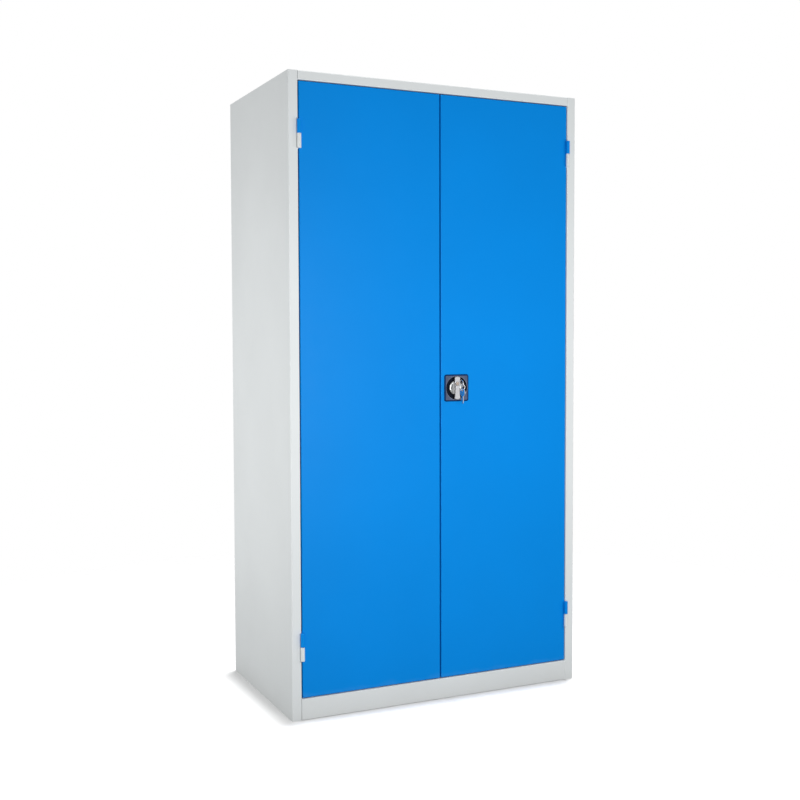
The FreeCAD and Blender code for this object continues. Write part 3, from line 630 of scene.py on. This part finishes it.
class CABINET_OT_stage(bpy.types.Operator):
    """Sets the camera, the soft lights, the white surroundings and the floor"""

    bl_idname = "cabinet.stage"
    bl_label = "Stage"

    def execute(self, context):
        stage = settings("cabinet_stage")
        self.camera(context, stage)
        self.world(context, stage)
        for side in ("front", "right", "side"):
            self.softbox(context, stage, side)
        self.overhead(context, stage)
        self.floor(context, stage)
        context.scene.view_settings.view_transform = "Standard"
        return {"FINISHED"}

    def camera(self, context, stage):
        """Camera at the photo's place, turned by its yaw, pitch and roll."""
        yaw, pitch, roll = stage.camera_yaw, stage.camera_pitch, stage.camera_roll
        level = math.cos(pitch)
        ahead = Vector((math.sin(yaw) * level, math.cos(yaw) * level, -math.sin(pitch)))
        right = Vector((math.cos(yaw), -math.sin(yaw), 0))
        up = right.cross(ahead)
        right_leaning = right * math.cos(roll) + up * math.sin(roll)
        up_leaning = up * math.cos(roll) - right * math.sin(roll)
        data = bpy.data.cameras.new("photo_camera")
        data.lens = stage.lens
        data.sensor_width = SENSOR_WIDTH_MM
        data.shift_x, data.shift_y = stage.shift
        camera = bpy.data.objects.new("photo_camera", data)
        turn = Matrix((right_leaning, up_leaning, -ahead)).transposed().to_4x4()
        camera.matrix_world = Matrix.Translation(Vector(stage.camera_place)) @ turn
        context.scene.collection.objects.link(camera)
        context.scene.camera = camera

    def world(self, context, stage):
        """White surroundings for the camera, for shiny metal and through glass, and the weaker
        light from all round for everything else."""
        world = bpy.data.worlds.new("studio")
        world.use_nodes = True
        tree = world.node_tree
        tree.nodes.clear()
        paths = tree.nodes.new("ShaderNodeLightPath")
        seen = paths.outputs["Is Camera Ray"]
        for ray in ("Is Glossy Ray", "Is Transmission Ray"):
            either = tree.nodes.new("ShaderNodeMath")
            either.operation = "ADD"
            either.use_clamp = True
            tree.links.new(seen, either.inputs[0])
            tree.links.new(paths.outputs[ray], either.inputs[1])
            seen = either.outputs["Value"]
        mix = tree.nodes.new("ShaderNodeMixShader")
        tree.links.new(seen, mix.inputs["Fac"])
        for slot, strength in ((1, stage.sky), (2, WHITE_STRENGTH)):
            light = tree.nodes.new("ShaderNodeBackground")
            light.inputs["Color"].default_value = WHITE
            light.inputs["Strength"].default_value = strength
            tree.links.new(light.outputs["Background"], mix.inputs[slot])
        output = tree.nodes.new("ShaderNodeOutputWorld")
        tree.links.new(mix.outputs["Shader"], output.inputs["Surface"])
        context.scene.world = world

    def softbox(self, context, stage, side):
        """Square light that the camera doesn't see. It shows in shiny metal if it is mirrored."""
        name = side + "_softbox"
        place = Vector(getattr(stage, side + "_place"))
        target = Vector(getattr(stage, side + "_target"))
        data = bpy.data.lights.new(name, "AREA")
        data.shape = "SQUARE"
        data.size = getattr(stage, side + "_size")
        data.energy = getattr(stage, side + "_power")
        lamp = bpy.data.objects.new(name, data)
        lamp.location = place
        lamp.rotation_euler = (target - place).to_track_quat("-Z", "Y").to_euler()
        lamp.visible_camera = False
        lamp.visible_glossy = getattr(stage, side + "_mirrored")
        context.scene.collection.objects.link(lamp)

    def overhead(self, context, stage):
        """Far light from above. Leaning a little, it drops a narrow soft shadow to the left
        and the front."""
        data = bpy.data.lights.new("overhead_light", "SUN")
        data.energy = stage.overhead
        data.angle = stage.overhead_blur
        lamp = bpy.data.objects.new("overhead_light", data)
        slope = math.tan(stage.overhead_lean)
        lean = Vector((-slope, -FORWARD_LEAN_SHARE * slope, -1))
        lamp.rotation_euler = lean.to_track_quat("-Z", "Y").to_euler()
        context.scene.collection.objects.link(lamp)

    def floor(self, context, stage):
        """Round floor that fades out. It is pale to the camera and darker to all other rays,
        so little light comes back up from it."""
        n = Nodes("floor")
        rays = n.add("ShaderNodeLightPath").outputs["Is Camera Ray"]
        tone = n.mix(rays, (stage.floor_bounce,) * 3, (stage.floor_tone,) * 3)
        n.set(Base_Color=tone, Roughness=FLOOR_ROUGHNESS, Specular_IOR_Level=0.0)
        far = n.add("ShaderNodeVectorMath", operation="LENGTH")
        n.join(n.place, far.inputs[0])
        fade = n.remap(far.outputs["Value"], low=stage.floor_reach / 2, high=stage.floor_reach)
        clear = n.add("ShaderNodeBsdfTransparent")
        mix = n.add("ShaderNodeMixShader")
        n.join(fade, mix.inputs["Fac"])
        n.join(n.shader.outputs["BSDF"], mix.inputs[1])
        n.join(clear.outputs["BSDF"], mix.inputs[2])
        n.join(mix.outputs["Shader"], n.output.inputs["Surface"])
        angle = full_turn(FLOOR_STEPS)
        radius = stage.floor_reach * FLOOR_OVERRUN_SHARE
        rim = radius * np.stack([np.cos(angle), np.sin(angle), np.zeros(FLOOR_STEPS)], axis=1)
        mesh = bpy.data.meshes.new("floor")
        mesh.from_pydata(rim.tolist(), [], [tuple(range(FLOOR_STEPS))])
        mesh.materials.append(n.material)
        floor = bpy.data.objects.new("floor", mesh)
        context.scene.collection.objects.link(floor)


class CABINET_OT_paint(bpy.types.Operator):
    """Gives the folded sheets their grey and blue powder coat"""

    bl_idname = "cabinet.paint"
    bl_label = "Powder coat"

    def execute(self, context):
        paint = settings("cabinet_paint")
        grey = powder_coat("grey_powder_coat", paint.body_colour, paint)
        blue = powder_coat("blue_powder_coat", paint.door_colour, paint)
        for name in CARCASS_NODES:
            dress(name, grey)
        for name in DOOR_NODES:
            dress(name, blue)
        return {"FINISHED"}


# Rubber buffers
CROWN_SHARE = 0.35

# Screw heads: lengths, and shares of the head's radius or of its rise
DISH_SCREW_RISE = 2.5 * MM
CAM_SCREW_RISE = 0.4 * MM
CAM_SCREW_SHORTER = 1.0 * MM
HEAD_ROWS = 22
HEAD_STEPS = 96
RIM_HEIGHT_SHARE = 0.55
BAR_SLOPE_SHARE = 0.09
BAR_EDGE_IN_SLOPES = 1.4
BAR_END_SHARE = 0.62
BAR_END_SLOPE_SHARE = 0.12
CROSS_DEPTH_SHARE = 0.8
SHANK_SHARE = 0.42

# Knurled knobs: distance in mm before the knob's rear end, share of its radius, share of the waves
KNURL_PROFILE = (
    (4.4, 0.90, 0), (4.1, 1.0, 0), (3.6, 1.05, 1), (0.6, 1.05, 1), (0.1, 1.0, 0), (-0.2, 0.90, 0),
)
KNURL_WAVES = 30
KNURL_DEPTH_SHARE = 0.018
KNURL_STEPS = 240


class CABINET_OT_fittings(bpy.types.Operator):
    """Finishes the zinc plated and plastic fittings inside"""

    bl_idname = "cabinet.fittings"
    bl_label = "Fittings"

    def execute(self, context):
        plastic = settings("cabinet_plastic")
        zinc = zinc_plate("zinc_plate", settings("cabinet_metal"))
        for name in ZINC_NODES:
            dress(name, zinc)
        nylon = moulded(
            "black_nylon", plastic.nylon_colour, plastic.nylon_roughness,
            grain_size=1.2 * MM, grain_depth=0.03 * MM)
        dress("rod_bushes", nylon)
        dress("bolt_bushes", nylon)
        rubber = moulded(
            "black_rubber", plastic.rubber_colour, plastic.rubber_roughness,
            grain_size=0.9 * MM, grain_depth=0.04 * MM)
        self.buffers(rubber)
        self.screws(zinc)
        self.knobs(zinc)
        return {"FINISHED"}

    def buffers(self, rubber):
        """Rubber pads: a foot with a rounded crown. The crown's edge is a quarter round."""
        sheets = []
        for low, high in node_islands("door_buffers"):
            radius = (high.x - low.x) / 2
            crown = radius * CROWN_SHARE
            flat = radius - crown
            stations = [circle(0, low.y), circle(flat, low.y)]
            stations += arc_stations(circle, flat, low.y + crown, crown, start=-90, end=0, count=7)
            stations += [circle(radius, high.y), circle(0, high.y)]
            sheets.append((turned(stations, (low + high) / 2, steps=40), True))
        make_piece("buffer_pads", sheets, rubber, "carcass", "door_buffers")

    def screws(self, zinc):
        """The four screws of the dish and the one of the cam."""
        heads = []
        for low, high in node_islands("dish_screws"):
            heads.append((self.cross_head(low, high, DISH_SCREW_RISE, low.y), True))
        make_piece("dish_screw_heads", heads, zinc, "right_door", "dish_screws")
        low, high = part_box("cam_screw")
        rows = self.cross_head(low, high, CAM_SCREW_RISE, low.y + CAM_SCREW_SHORTER)
        make_piece("cam_screw_head", [(rows, True)], zinc, "handle", "cam_screw")

    def cross_head(self, low, high, rise, tip):
        """Domed screw head with a cross recess, and its shank. The dome falls as 1 - (r / R)^2,
        and the recess is cut where the point is near one of the two bars of the cross."""
        centre = (low + high) / 2
        radius = (high.x - low.x) / 2
        seat = high.y - rise
        angle = full_turn(HEAD_STEPS)
        share = np.linspace(0.0, 1.0, HEAD_ROWS)[:, None]
        out = radius * share
        near = np.minimum(np.abs(out * np.cos(angle)), np.abs(out * np.sin(angle)))
        across = np.clip(BAR_EDGE_IN_SLOPES - near / (BAR_SLOPE_SHARE * radius), 0, 1)
        along = np.clip((BAR_END_SHARE - share) / BAR_END_SLOPE_SHARE, 0, 1)
        dome = RIM_HEIGHT_SHARE + (1 - RIM_HEIGHT_SHARE) * (1 - share**2)
        y = seat + rise * (dome - across * along * CROSS_DEPTH_SHARE)
        shank = radius * SHANK_SHARE
        tail = [circle(radius, seat), circle(shank, seat), circle(shank, tip), circle(0, tip)]
        return np.concatenate([around(centre, angle, out, y), turned(tail, centre, HEAD_STEPS)])

    def knobs(self, zinc):
        """Knurled collars on the bolt knobs. The radius is R (1 + k cos(n a)), without the
        waves at the two rounded edges."""
        angle = full_turn(KNURL_STEPS)
        before, size, wave = np.array(KNURL_PROFILE).T[:, :, None]
        for node, body in (("upper_bolt", "top_bolt"), ("lower_bolt", "bottom_bolt")):
            low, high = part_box(node)
            radius = (high.x - low.x) / 2 * size
            radius = radius * (1 + KNURL_DEPTH_SHARE * wave * np.cos(KNURL_WAVES * angle))
            rows = around((low + high) / 2, angle, radius, high.y - before * MM)
            make_piece(node + "_knurl", [(rows, False)], zinc, body)


# Lock dish: its floor lies behind the doors' front
DISH_FLOOR = 7.0 * MM
DISH_WALL = 2.5 * MM
DISH_COVE = 2.0 * MM
DISH_BACK_BEVEL = 1.2 * MM
BOSS_RADIUS = 14.0 * MM
NECK_RADIUS = 8.0 * MM
NECK_PLAY = 0.08 * MM
FACE_FLAT_END = 3.2 * MM
FACE_SLOPE_END = 0.4 * MM
FACE_SLOPE = 0.25 * MM
DISH_STEPS = 256
# Blur of the painted shade and reflection band round the dish
BAND_BLUR = 0.2 * MM
# Painted highlight on the lip: its reach beyond the recess, its blur and its strength
PAINTED_HIGHLIGHT_REACH = 1.3 * MM
PAINTED_HIGHLIGHT_BLUR = 0.4 * MM
PAINTED_HIGHLIGHT_SHARE = 0.6
# Blur of the painted shade in the recess
DARK_BLUR = 0.3 * MM


class CABINET_OT_lock_dish(bpy.types.Operator):
    """Builds the moulded dish of the lock"""

    bl_idname = "cabinet.lock_dish"
    bl_label = "Lock dish"

    def execute(self, context):
        lock = settings("cabinet_lock")
        low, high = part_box("lock_dish")
        centre = (low + high) / 2
        half = (high.x - low.x) / 2
        front = low.y
        door = door_front()
        floor = door + DISH_FLOOR
        back = floor + DISH_WALL
        recess = lock.recess
        cove = recess - DISH_COVE
        wall = recess + DISH_WALL
        bore = NECK_RADIUS + NECK_PLAY
        lip = lock.lip_round
        edge = lock.dish_round
        stations = [circle(bore, floor), circle(BOSS_RADIUS, floor), circle(cove, floor)]
        stations += arc_stations(circle, cove, floor - DISH_COVE, DISH_COVE, start=90, end=0, count=6)
        stations += [circle(recess, floor - 2 * DISH_COVE)]
        stations += arc_stations(circle, recess + lip, front + lip, lip, start=180, end=270, count=6)
        rim = half - edge
        sloped = front + FACE_SLOPE
        stations += [square(half - FACE_FLAT_END, front), square(rim - FACE_SLOPE_END, sloped)]
        stations += arc_stations(square, rim, sloped + edge, edge, start=-80, end=0, count=6)
        stations += [square(half, door), circle(wall, door), circle(wall, floor + DISH_BACK_BEVEL)]
        stations += [circle(wall - DISH_BACK_BEVEL, back), circle(BOSS_RADIUS, back)]
        stations += [circle(BOSS_RADIUS, high.y), circle(bore, high.y)]
        rows = turned(stations, centre, DISH_STEPS, lock.dish_corner)
        plastic = self.plastic(lock, centre, half)
        make_piece("dish_moulding", [(rows, True)], plastic, "right_door", "lock_dish")
        return {"FINISHED"}

    def plastic(self, lock, centre, half):
        """Moulded plastic in zones of painted light: a navy band of painted shade and reflection where the
        distance from the rounded edge is less than its width, a recess darkened with painted shade inside
        its radius, and a pale ring of painted highlight on the lip between."""
        n = Nodes(moulded(
            "dish_plastic", lock.dish_colour, lock.dish_roughness,
            grain_size=0.9 * MM, grain_depth=0.03 * MM))
        offset = n.add("ShaderNodeVectorMath", operation="SUBTRACT")
        n.join(n.place, offset.inputs[0])
        offset.inputs[1].default_value = centre
        split = n.split(offset.outputs["Vector"])
        x, z = split["X"], split["Z"]
        core = half - lock.dish_corner
        over = [n.maths("MAXIMUM", n.maths("SUBTRACT", n.maths("ABSOLUTE", v), core), 0.0) for v in (x, z)]
        out = self.length(n, *over)
        radius = self.length(n, x, z)
        start = lock.dish_corner - lock.border
        # Painted shade and reflection of the blue door along the dish's sloping edge
        band = n.remap(out, low=start - BAND_BLUR, high=start + BAND_BLUR)
        tone = n.mix(band, n.feeding("Base Color"), lock.painted_shade_border_colour)
        # Painted highlight: a pale ring just outside the recess
        lip = lock.recess + PAINTED_HIGHLIGHT_REACH
        wear_and_highlight = n.remap(radius, low=lip, high=lip - PAINTED_HIGHLIGHT_BLUR, to_high=PAINTED_HIGHLIGHT_SHARE)
        tone = n.mix(wear_and_highlight, tone, lock.painted_highlight_lip_colour)
        # Painted shade: the recess darkened to near black
        dark = n.remap(radius, low=lock.recess + DARK_BLUR, high=lock.recess)
        tone = n.mix(dark, tone, lock.painted_shade_recess_colour)
        return n.set(Base_Color=tone, Specular_IOR_Level=lock.dish_gloss)

    def length(self, n, x, z):
        """The root of x^2 + z^2."""
        return n.maths("SQRT", n.maths("ADD", n.maths("MULTIPLY", x, x), n.maths("MULTIPLY", z, z)))


# Turn handle: its rise is before the doors' front, and its two backs are behind it
HUB_RISE = 0.5 * MM
HUB_BACK = 6.7 * MM
HUB_DIP = 0.4 * MM
HUB_DIP_RADIUS = 6.0 * MM
HUB_DIP_EDGE = 0.3 * MM
HUB_FACE_END = 1.5 * MM
HUB_BEVEL = 0.5 * MM
HUB_STEPS = 192
HUB_LINE_DEPTH = 0.003 * MM
NECK_BACK = 12.0 * MM
SQUARE_HALF = 5.0 * MM
SQUARE_CORNER = 0.8 * MM
GRIP_HALF = 11.0 * MM
GRIP_WAIST = 4.3 * MM
GRIP_SUNK = 1.2 * MM
GRIP_CROWN = 0.05 * MM
SIDE_POINTS = 24
CORNER_POINTS = 9
CORNER_TURN_DEGREES = 75
END_POINTS = 12
CROWN_ROWS = 7
EDGE_ROWS = 8
# Where the grip's satin finish and painted shade begin and where they are full, behind its front
SATIN_AND_SHADE_START = 0.04 * MM
SATIN_AND_SHADE_FULL = 0.07 * MM
SATIN_ROUGHNESS = 0.2
BORE_PLAY = 0.04 * MM
BORE_OVERRUN = 1.0 * MM
BORE_STEPS = 96


class CABINET_OT_handle(bpy.types.Operator):
    """Builds the turn handle with its hub, grip and neck, and finishes the cylinder"""

    bl_idname = "cabinet.handle"
    bl_label = "Turn handle"

    def execute(self, context):
        lock = settings("cabinet_lock")
        metal = settings("cabinet_metal")
        low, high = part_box("turn_handle")
        centre = (low + high) / 2
        front = door_front() - HUB_RISE
        bore = self.cylinder_bore()
        brushed = milled("hub_steel", metal.hub_colour, LINES_UPRIGHT, metal.hub_roughness, HUB_LINE_DEPTH)
        hub = turned(self.hub_stations(lock, low, high, front), centre, HUB_STEPS, SQUARE_CORNER)
        make_piece("handle_hub", [(hub, True)], brushed, "handle", "turn_handle", bore)
        outline = self.grip_outline(GRIP_HALF, GRIP_WAIST, (high.z - low.z) / 2, lock.grip_corner)
        grip = self.grip(outline, centre, low.y, front + GRIP_SUNK, lock.grip_round)
        make_piece("handle_grip", [(grip, True)], self.satin_and_painted_shade_sides(metal, low.y), "handle", None, bore)
        chrome = polished("cylinder_chrome", metal.cylinder_colour, metal.cylinder_roughness, metal)
        dress("lock_cylinder", chrome)
        return {"FINISHED"}

    def hub_stations(self, lock, low, high, front):
        """The hub's slightly dished face and rounded rim, its back, the neck and the square."""
        hub = (high.x - low.x) / 2
        edge = lock.hub_round
        rim = hub - edge
        back = door_front() + HUB_BACK
        neck_back = door_front() + NECK_BACK
        stations = [circle(0, front + HUB_DIP), circle(HUB_DIP_RADIUS, front + HUB_DIP_EDGE)]
        stations += [circle(rim - HUB_FACE_END, front)]
        stations += arc_stations(circle, rim, front + edge, edge, start=-88, end=0, count=10)
        stations += [circle(hub, back - HUB_BEVEL), circle(hub - HUB_BEVEL, back)]
        stations += [circle(NECK_RADIUS, back), circle(NECK_RADIUS, neck_back)]
        stations += [square(SQUARE_HALF, neck_back), square(SQUARE_HALF, high.y), circle(0, high.y)]
        return stations

    def cylinder_bore(self):
        """A rod a hair wider than the lock cylinder, from before the grip to the cylinder's end."""
        low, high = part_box("lock_cylinder")
        radius = (high.x - low.x) / 2 + BORE_PLAY
        start = low.y - BORE_OVERRUN
        end = high.y + BORE_PLAY
        stations = [circle(0, start), circle(radius, start), circle(radius, end), circle(0, end)]
        return turned(stations, (low + high) / 2, BORE_STEPS)

    def satin_and_painted_shade_sides(self, metal, front):
        """Chrome that turns to a rougher satin finish behind the grip's front edge, with a darker colour
        there that is painted shade.
        """
        n = Nodes(polished("grip_chrome", metal.handle_colour, metal.handle_roughness, metal))
        share = n.remap(n.split()["Y"], low=front + SATIN_AND_SHADE_START, high=front + SATIN_AND_SHADE_FULL)
        # Painted shade on the grip's sides
        tone = n.mix(share, n.feeding("Base Color"), metal.painted_shade_side_colour)
        rough = n.maths("ADD", n.feeding("Roughness"), n.maths("MULTIPLY", share, SATIN_ROUGHNESS))
        return n.set(Base_Color=tone, Roughness=rough)

    def grip_outline(self, half, waist, reach, corner):
        """Plan of the bar as points and outward normals. Its sides are x = h - w (1 - (z / R)^2),
        its ends z = sqrt(R^2 - x^2), and a round of radius c joins them."""
        z = np.linspace(0, 1, SIDE_POINTS) * (math.sqrt(reach**2 - half**2) - corner)
        side = np.stack([half - waist * (1 - (z / reach) ** 2), z], axis=1)
        middle = side[-1] - [corner, 0]
        turn = np.radians(np.linspace(0, CORNER_TURN_DEGREES, CORNER_POINTS))[1:]
        bend = middle + corner * np.stack([np.cos(turn), np.sin(turn)], axis=1)
        x = np.linspace(bend[-1][0], 0, END_POINTS)[1:]
        end = np.stack([x, np.sqrt(reach**2 - x**2)], axis=1)
        # The end starts level with the round's last point and eases over to its own curve
        end[:, 1] += (bend[-1][1] - end[0][1]) * (1 - np.linspace(0, 1, len(end))) ** 2
        quarter = np.concatenate([side, bend, end])
        flipped = quarter[::-1][1:] * [-1, 1]
        top = np.concatenate([quarter, flipped])
        points = np.concatenate([top, -top[1:-1]])
        ahead = np.roll(points, -1, axis=0) - np.roll(points, 1, axis=0)
        normals = np.stack([ahead[:, 1], -ahead[:, 0]], axis=1)
        return points, normals / np.linalg.norm(normals, axis=1)[:, None]

    def grip(self, outline, centre, front, back, edge):
        """Rows of the bar from the middle of its front to its back. The front is a low crown,
        d = c s^2 at a share s of the way out, and its edge is a quarter round of radius e:
        at angle a it is inset by e (1 - sin a) and lies e (1 - cos a) behind the crown."""
        points, normals = outline
        rows = [(share, edge, GRIP_CROWN * share**2) for share in np.linspace(0, 1, CROWN_ROWS)]
        for a in np.radians(np.linspace(0, 90, EDGE_ROWS))[1:]:
            rows.append((1, edge * (1 - math.sin(a)), GRIP_CROWN + edge * (1 - math.cos(a))))
        rows += [(1, 0, back - front), (0, 0, back - front)]
        share, inset, depth = np.array(rows).T[:, :, None, None]
        plan = (points - normals * inset) * share
        x, z = plan[..., 0], plan[..., 1]
        return np.stack(np.broadcast_arrays(centre.x + x, front + depth[..., 0], centre.z + z), axis=-1)


# Split ring: angles in radians, shares of the wire's thickness
RING_TURNS = 2
RING_POINTS = 360
RING_START = 0.9
RING_STEP_ANGLE = 1.0
RING_FILL_SHARE = 0.98
RING_FLAT_SHARE = 0.5


class CABINET_OT_keys(bpy.types.Operator):
    """Finishes the plug and the two keys, and winds the split ring"""

    bl_idname = "cabinet.keys"
    bl_label = "Keys"

    def execute(self, context):
        metal = settings("cabinet_metal")
        rough = metal.key_roughness
        dress("cylinder_plug", milled("nickelled_brass", metal.plug_colour, NO_LINES, rough))
        dress("inserted_key", milled("key_steel", metal.key_colour, KEY_LINES_INWARD, rough))
        dress("spare_key", milled("spare_key_steel", metal.key_colour, KEY_LINES_UPRIGHT, rough))
        steel = polished("ring_steel", metal.ring_colour, metal.ring_roughness, metal)
        rows = self.split_ring(settings("cabinet_lock").ring_wire)
        make_piece("split_ring", [(rows, False)], steel, "ring", "key_ring")
        return {"FINISHED"}

    def split_ring(self, wire):
        """Two turns of flat wire. Over the angle a the wire is at R (cos a, sin a) and its
        turns step apart along Y by s(a), which rises from -w/2 to w/2 in one short slope."""
        low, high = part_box("key_ring")
        centre = (low + high) / 2
        radius = (high.x - low.x) / 2 - wire
        end = RING_TURNS * 2 * math.pi
        angle = np.linspace(0, end, RING_POINTS)
        slope = np.clip((angle - end / 2) / RING_STEP_ANGLE + 0.5, 0, 1)
        step = (slope * slope * (3 - 2 * slope) - 0.5) * wire
        path = around(centre, angle + RING_START, radius, centre.y + step)
        return swept(path, np.full(RING_POINTS, wire * RING_FILL_SHARE), steps=16, flat=RING_FLAT_SHARE)


# Weld beads at the hinge leaves: lengths, and the ripple's angle for each millimetre
BEAD_OFFSET = 0.9 * MM
BEAD_BEYOND = 0.4 * MM
BEAD_START = 2.0 * MM
BEAD_END = 18.0 * MM
BEAD_RADIUS = 1.15 * MM
BEAD_RIPPLE_SHARE = 0.12
BEAD_RIPPLE_RATE = 3.2
BEAD_TAPER_POWER = 8
BEAD_TIP_SHARE = 0.02
BEAD_POINTS = 60

# Spot welds on the door ribs: their surface lies behind the doors' front
SPOT_RADIUS = 3.2 * MM
SPOT_INSET = 7.5 * MM
SPOT_SURFACE = 2.4 * MM
SPOT_SUNK = 0.2 * MM
SPOT_FIRST = 40.0 * MM
SPOT_COUNT = 16
SPOT_HEIGHT = 0.5 * MM
SPOT_MIDDLE_SHARE = 0.3
SPOT_RADIUS_SHARES = (1.0, 0.85, 0.7, 0.5, 0.25, 0.0)


class CABINET_OT_welds(bpy.types.Operator):
    """Lays weld beads at the hinge leaves and spot welds on the door ribs"""

    bl_idname = "cabinet.welds"
    bl_label = "Welds"

    def execute(self, context):
        grey = bpy.data.materials["grey_powder_coat"]
        blue = bpy.data.materials["blue_powder_coat"]
        frame_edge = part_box("left_side_panel")[1].x + BEAD_OFFSET
        door_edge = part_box("left_door_skin")[0].x - BEAD_OFFSET
        for side, mirror in (("left", 1), ("right", -1)):
            self.beads(side + "_frame", mirror * frame_edge, grey, "carcass")
            self.beads(side + "_door", mirror * door_edge, blue, side + "_door")
            self.spots(side, blue)
        return {"FINISHED"}

    def beads(self, part, x, material, body):
        """A rippled bead at both ends of each leaf. Its radius is R (1 + 0.12 sin(n y)), and
        it narrows at its ends by the root of 1 - t^8, where t runs from -1 to 1."""
        door = door_front()
        y = np.linspace(door + BEAD_START, door + BEAD_END, BEAD_POINTS)
        t = np.linspace(-1, 1, BEAD_POINTS)
        radius = BEAD_RADIUS * (1 + BEAD_RIPPLE_SHARE * np.sin((y - door) / MM * BEAD_RIPPLE_RATE))
        radius = radius * np.sqrt(np.clip(1 - t**BEAD_TAPER_POWER, BEAD_TIP_SHARE, 1))
        sheets = []
        for low, high in node_islands(part + "_knuckles"):
            for z in (low.z - BEAD_BEYOND, high.z + BEAD_BEYOND):
                path = np.stack(np.broadcast_arrays(x, y, z), axis=1)
                sheets.append((swept(path, radius, steps=14), False))
        make_piece(part + "_welds", sheets, material, body)

    def spots(self, side, material):
        """Shallow round marks in two rows along a door's rib. A mark's relief is a rim with
        a sunk middle, h(r) = H cos^2(pi r / 2R) (0.3 + (r / R)^2)."""
        low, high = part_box(side + "_door_rib")
        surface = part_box(side + "_door_skin")[0].y + SPOT_SURFACE
        stations = [circle(0, surface - SPOT_SUNK), circle(SPOT_RADIUS, surface - SPOT_SUNK)]
        for share in SPOT_RADIUS_SHARES:
            rise = SPOT_HEIGHT * math.cos(math.pi * share / 2) ** 2 * (SPOT_MIDDLE_SHARE + share**2)
            stations.append(circle(SPOT_RADIUS * share, surface + rise))
        sheets = []
        for x in (low.x + SPOT_INSET, high.x - SPOT_INSET):
            for z in np.linspace(low.z + SPOT_FIRST, high.z - SPOT_FIRST, SPOT_COUNT):
                sheets.append((turned(stations, (x, 0, z), steps=20), False))
        make_piece(side + "_spot_welds", sheets, material, side + "_door")


class CABINET_PT_panel(bpy.types.Panel):
    """Lists the steps that dress the cabinet"""

    bl_idname = "CABINET_PT_panel"
    bl_label = "Tool cabinet"
    bl_space_type = "VIEW_3D"
    bl_region_type = "UI"
    bl_category = "Cabinet"

    def draw(self, context):
        for step in STEPS:
            self.layout.operator(step.bl_idname)
        for kind, group in GROUPS.items():
            box = self.layout.box()
            box.label(text=group.__doc__)
            for name in group.__annotations__:
                box.prop(getattr(context.scene, kind), name)


GROUPS = {
    "cabinet_paint": CabinetPaint,
    "cabinet_metal": CabinetMetal,
    "cabinet_plastic": CabinetPlastic,
    "cabinet_lock": CabinetLock,
    "cabinet_stage": CabinetStage,
}
STEPS = (
    CABINET_OT_paint,
    CABINET_OT_fittings,
    CABINET_OT_lock_dish,
    CABINET_OT_handle,
    CABINET_OT_keys,
    CABINET_OT_welds,
    CABINET_OT_stage,
)


def register():
    for cls in (*GROUPS.values(), *STEPS, CABINET_PT_panel):
        bpy.utils.register_class(cls)
    for kind, group in GROUPS.items():
        setattr(bpy.types.Scene, kind, bpy.props.PointerProperty(type=group))


def unregister():
    for kind in GROUPS:
        delattr(bpy.types.Scene, kind)
    for cls in reversed((*GROUPS.values(), *STEPS, CABINET_PT_panel)):
        bpy.utils.unregister_class(cls)


def main():
    register()
    bpy.ops.cabinet.paint()
    bpy.ops.cabinet.fittings()
    bpy.ops.cabinet.lock_dish()
    bpy.ops.cabinet.handle()
    bpy.ops.cabinet.keys()
    bpy.ops.cabinet.welds()
    bpy.ops.cabinet.stage()


if __name__ == "__main__":
    main()
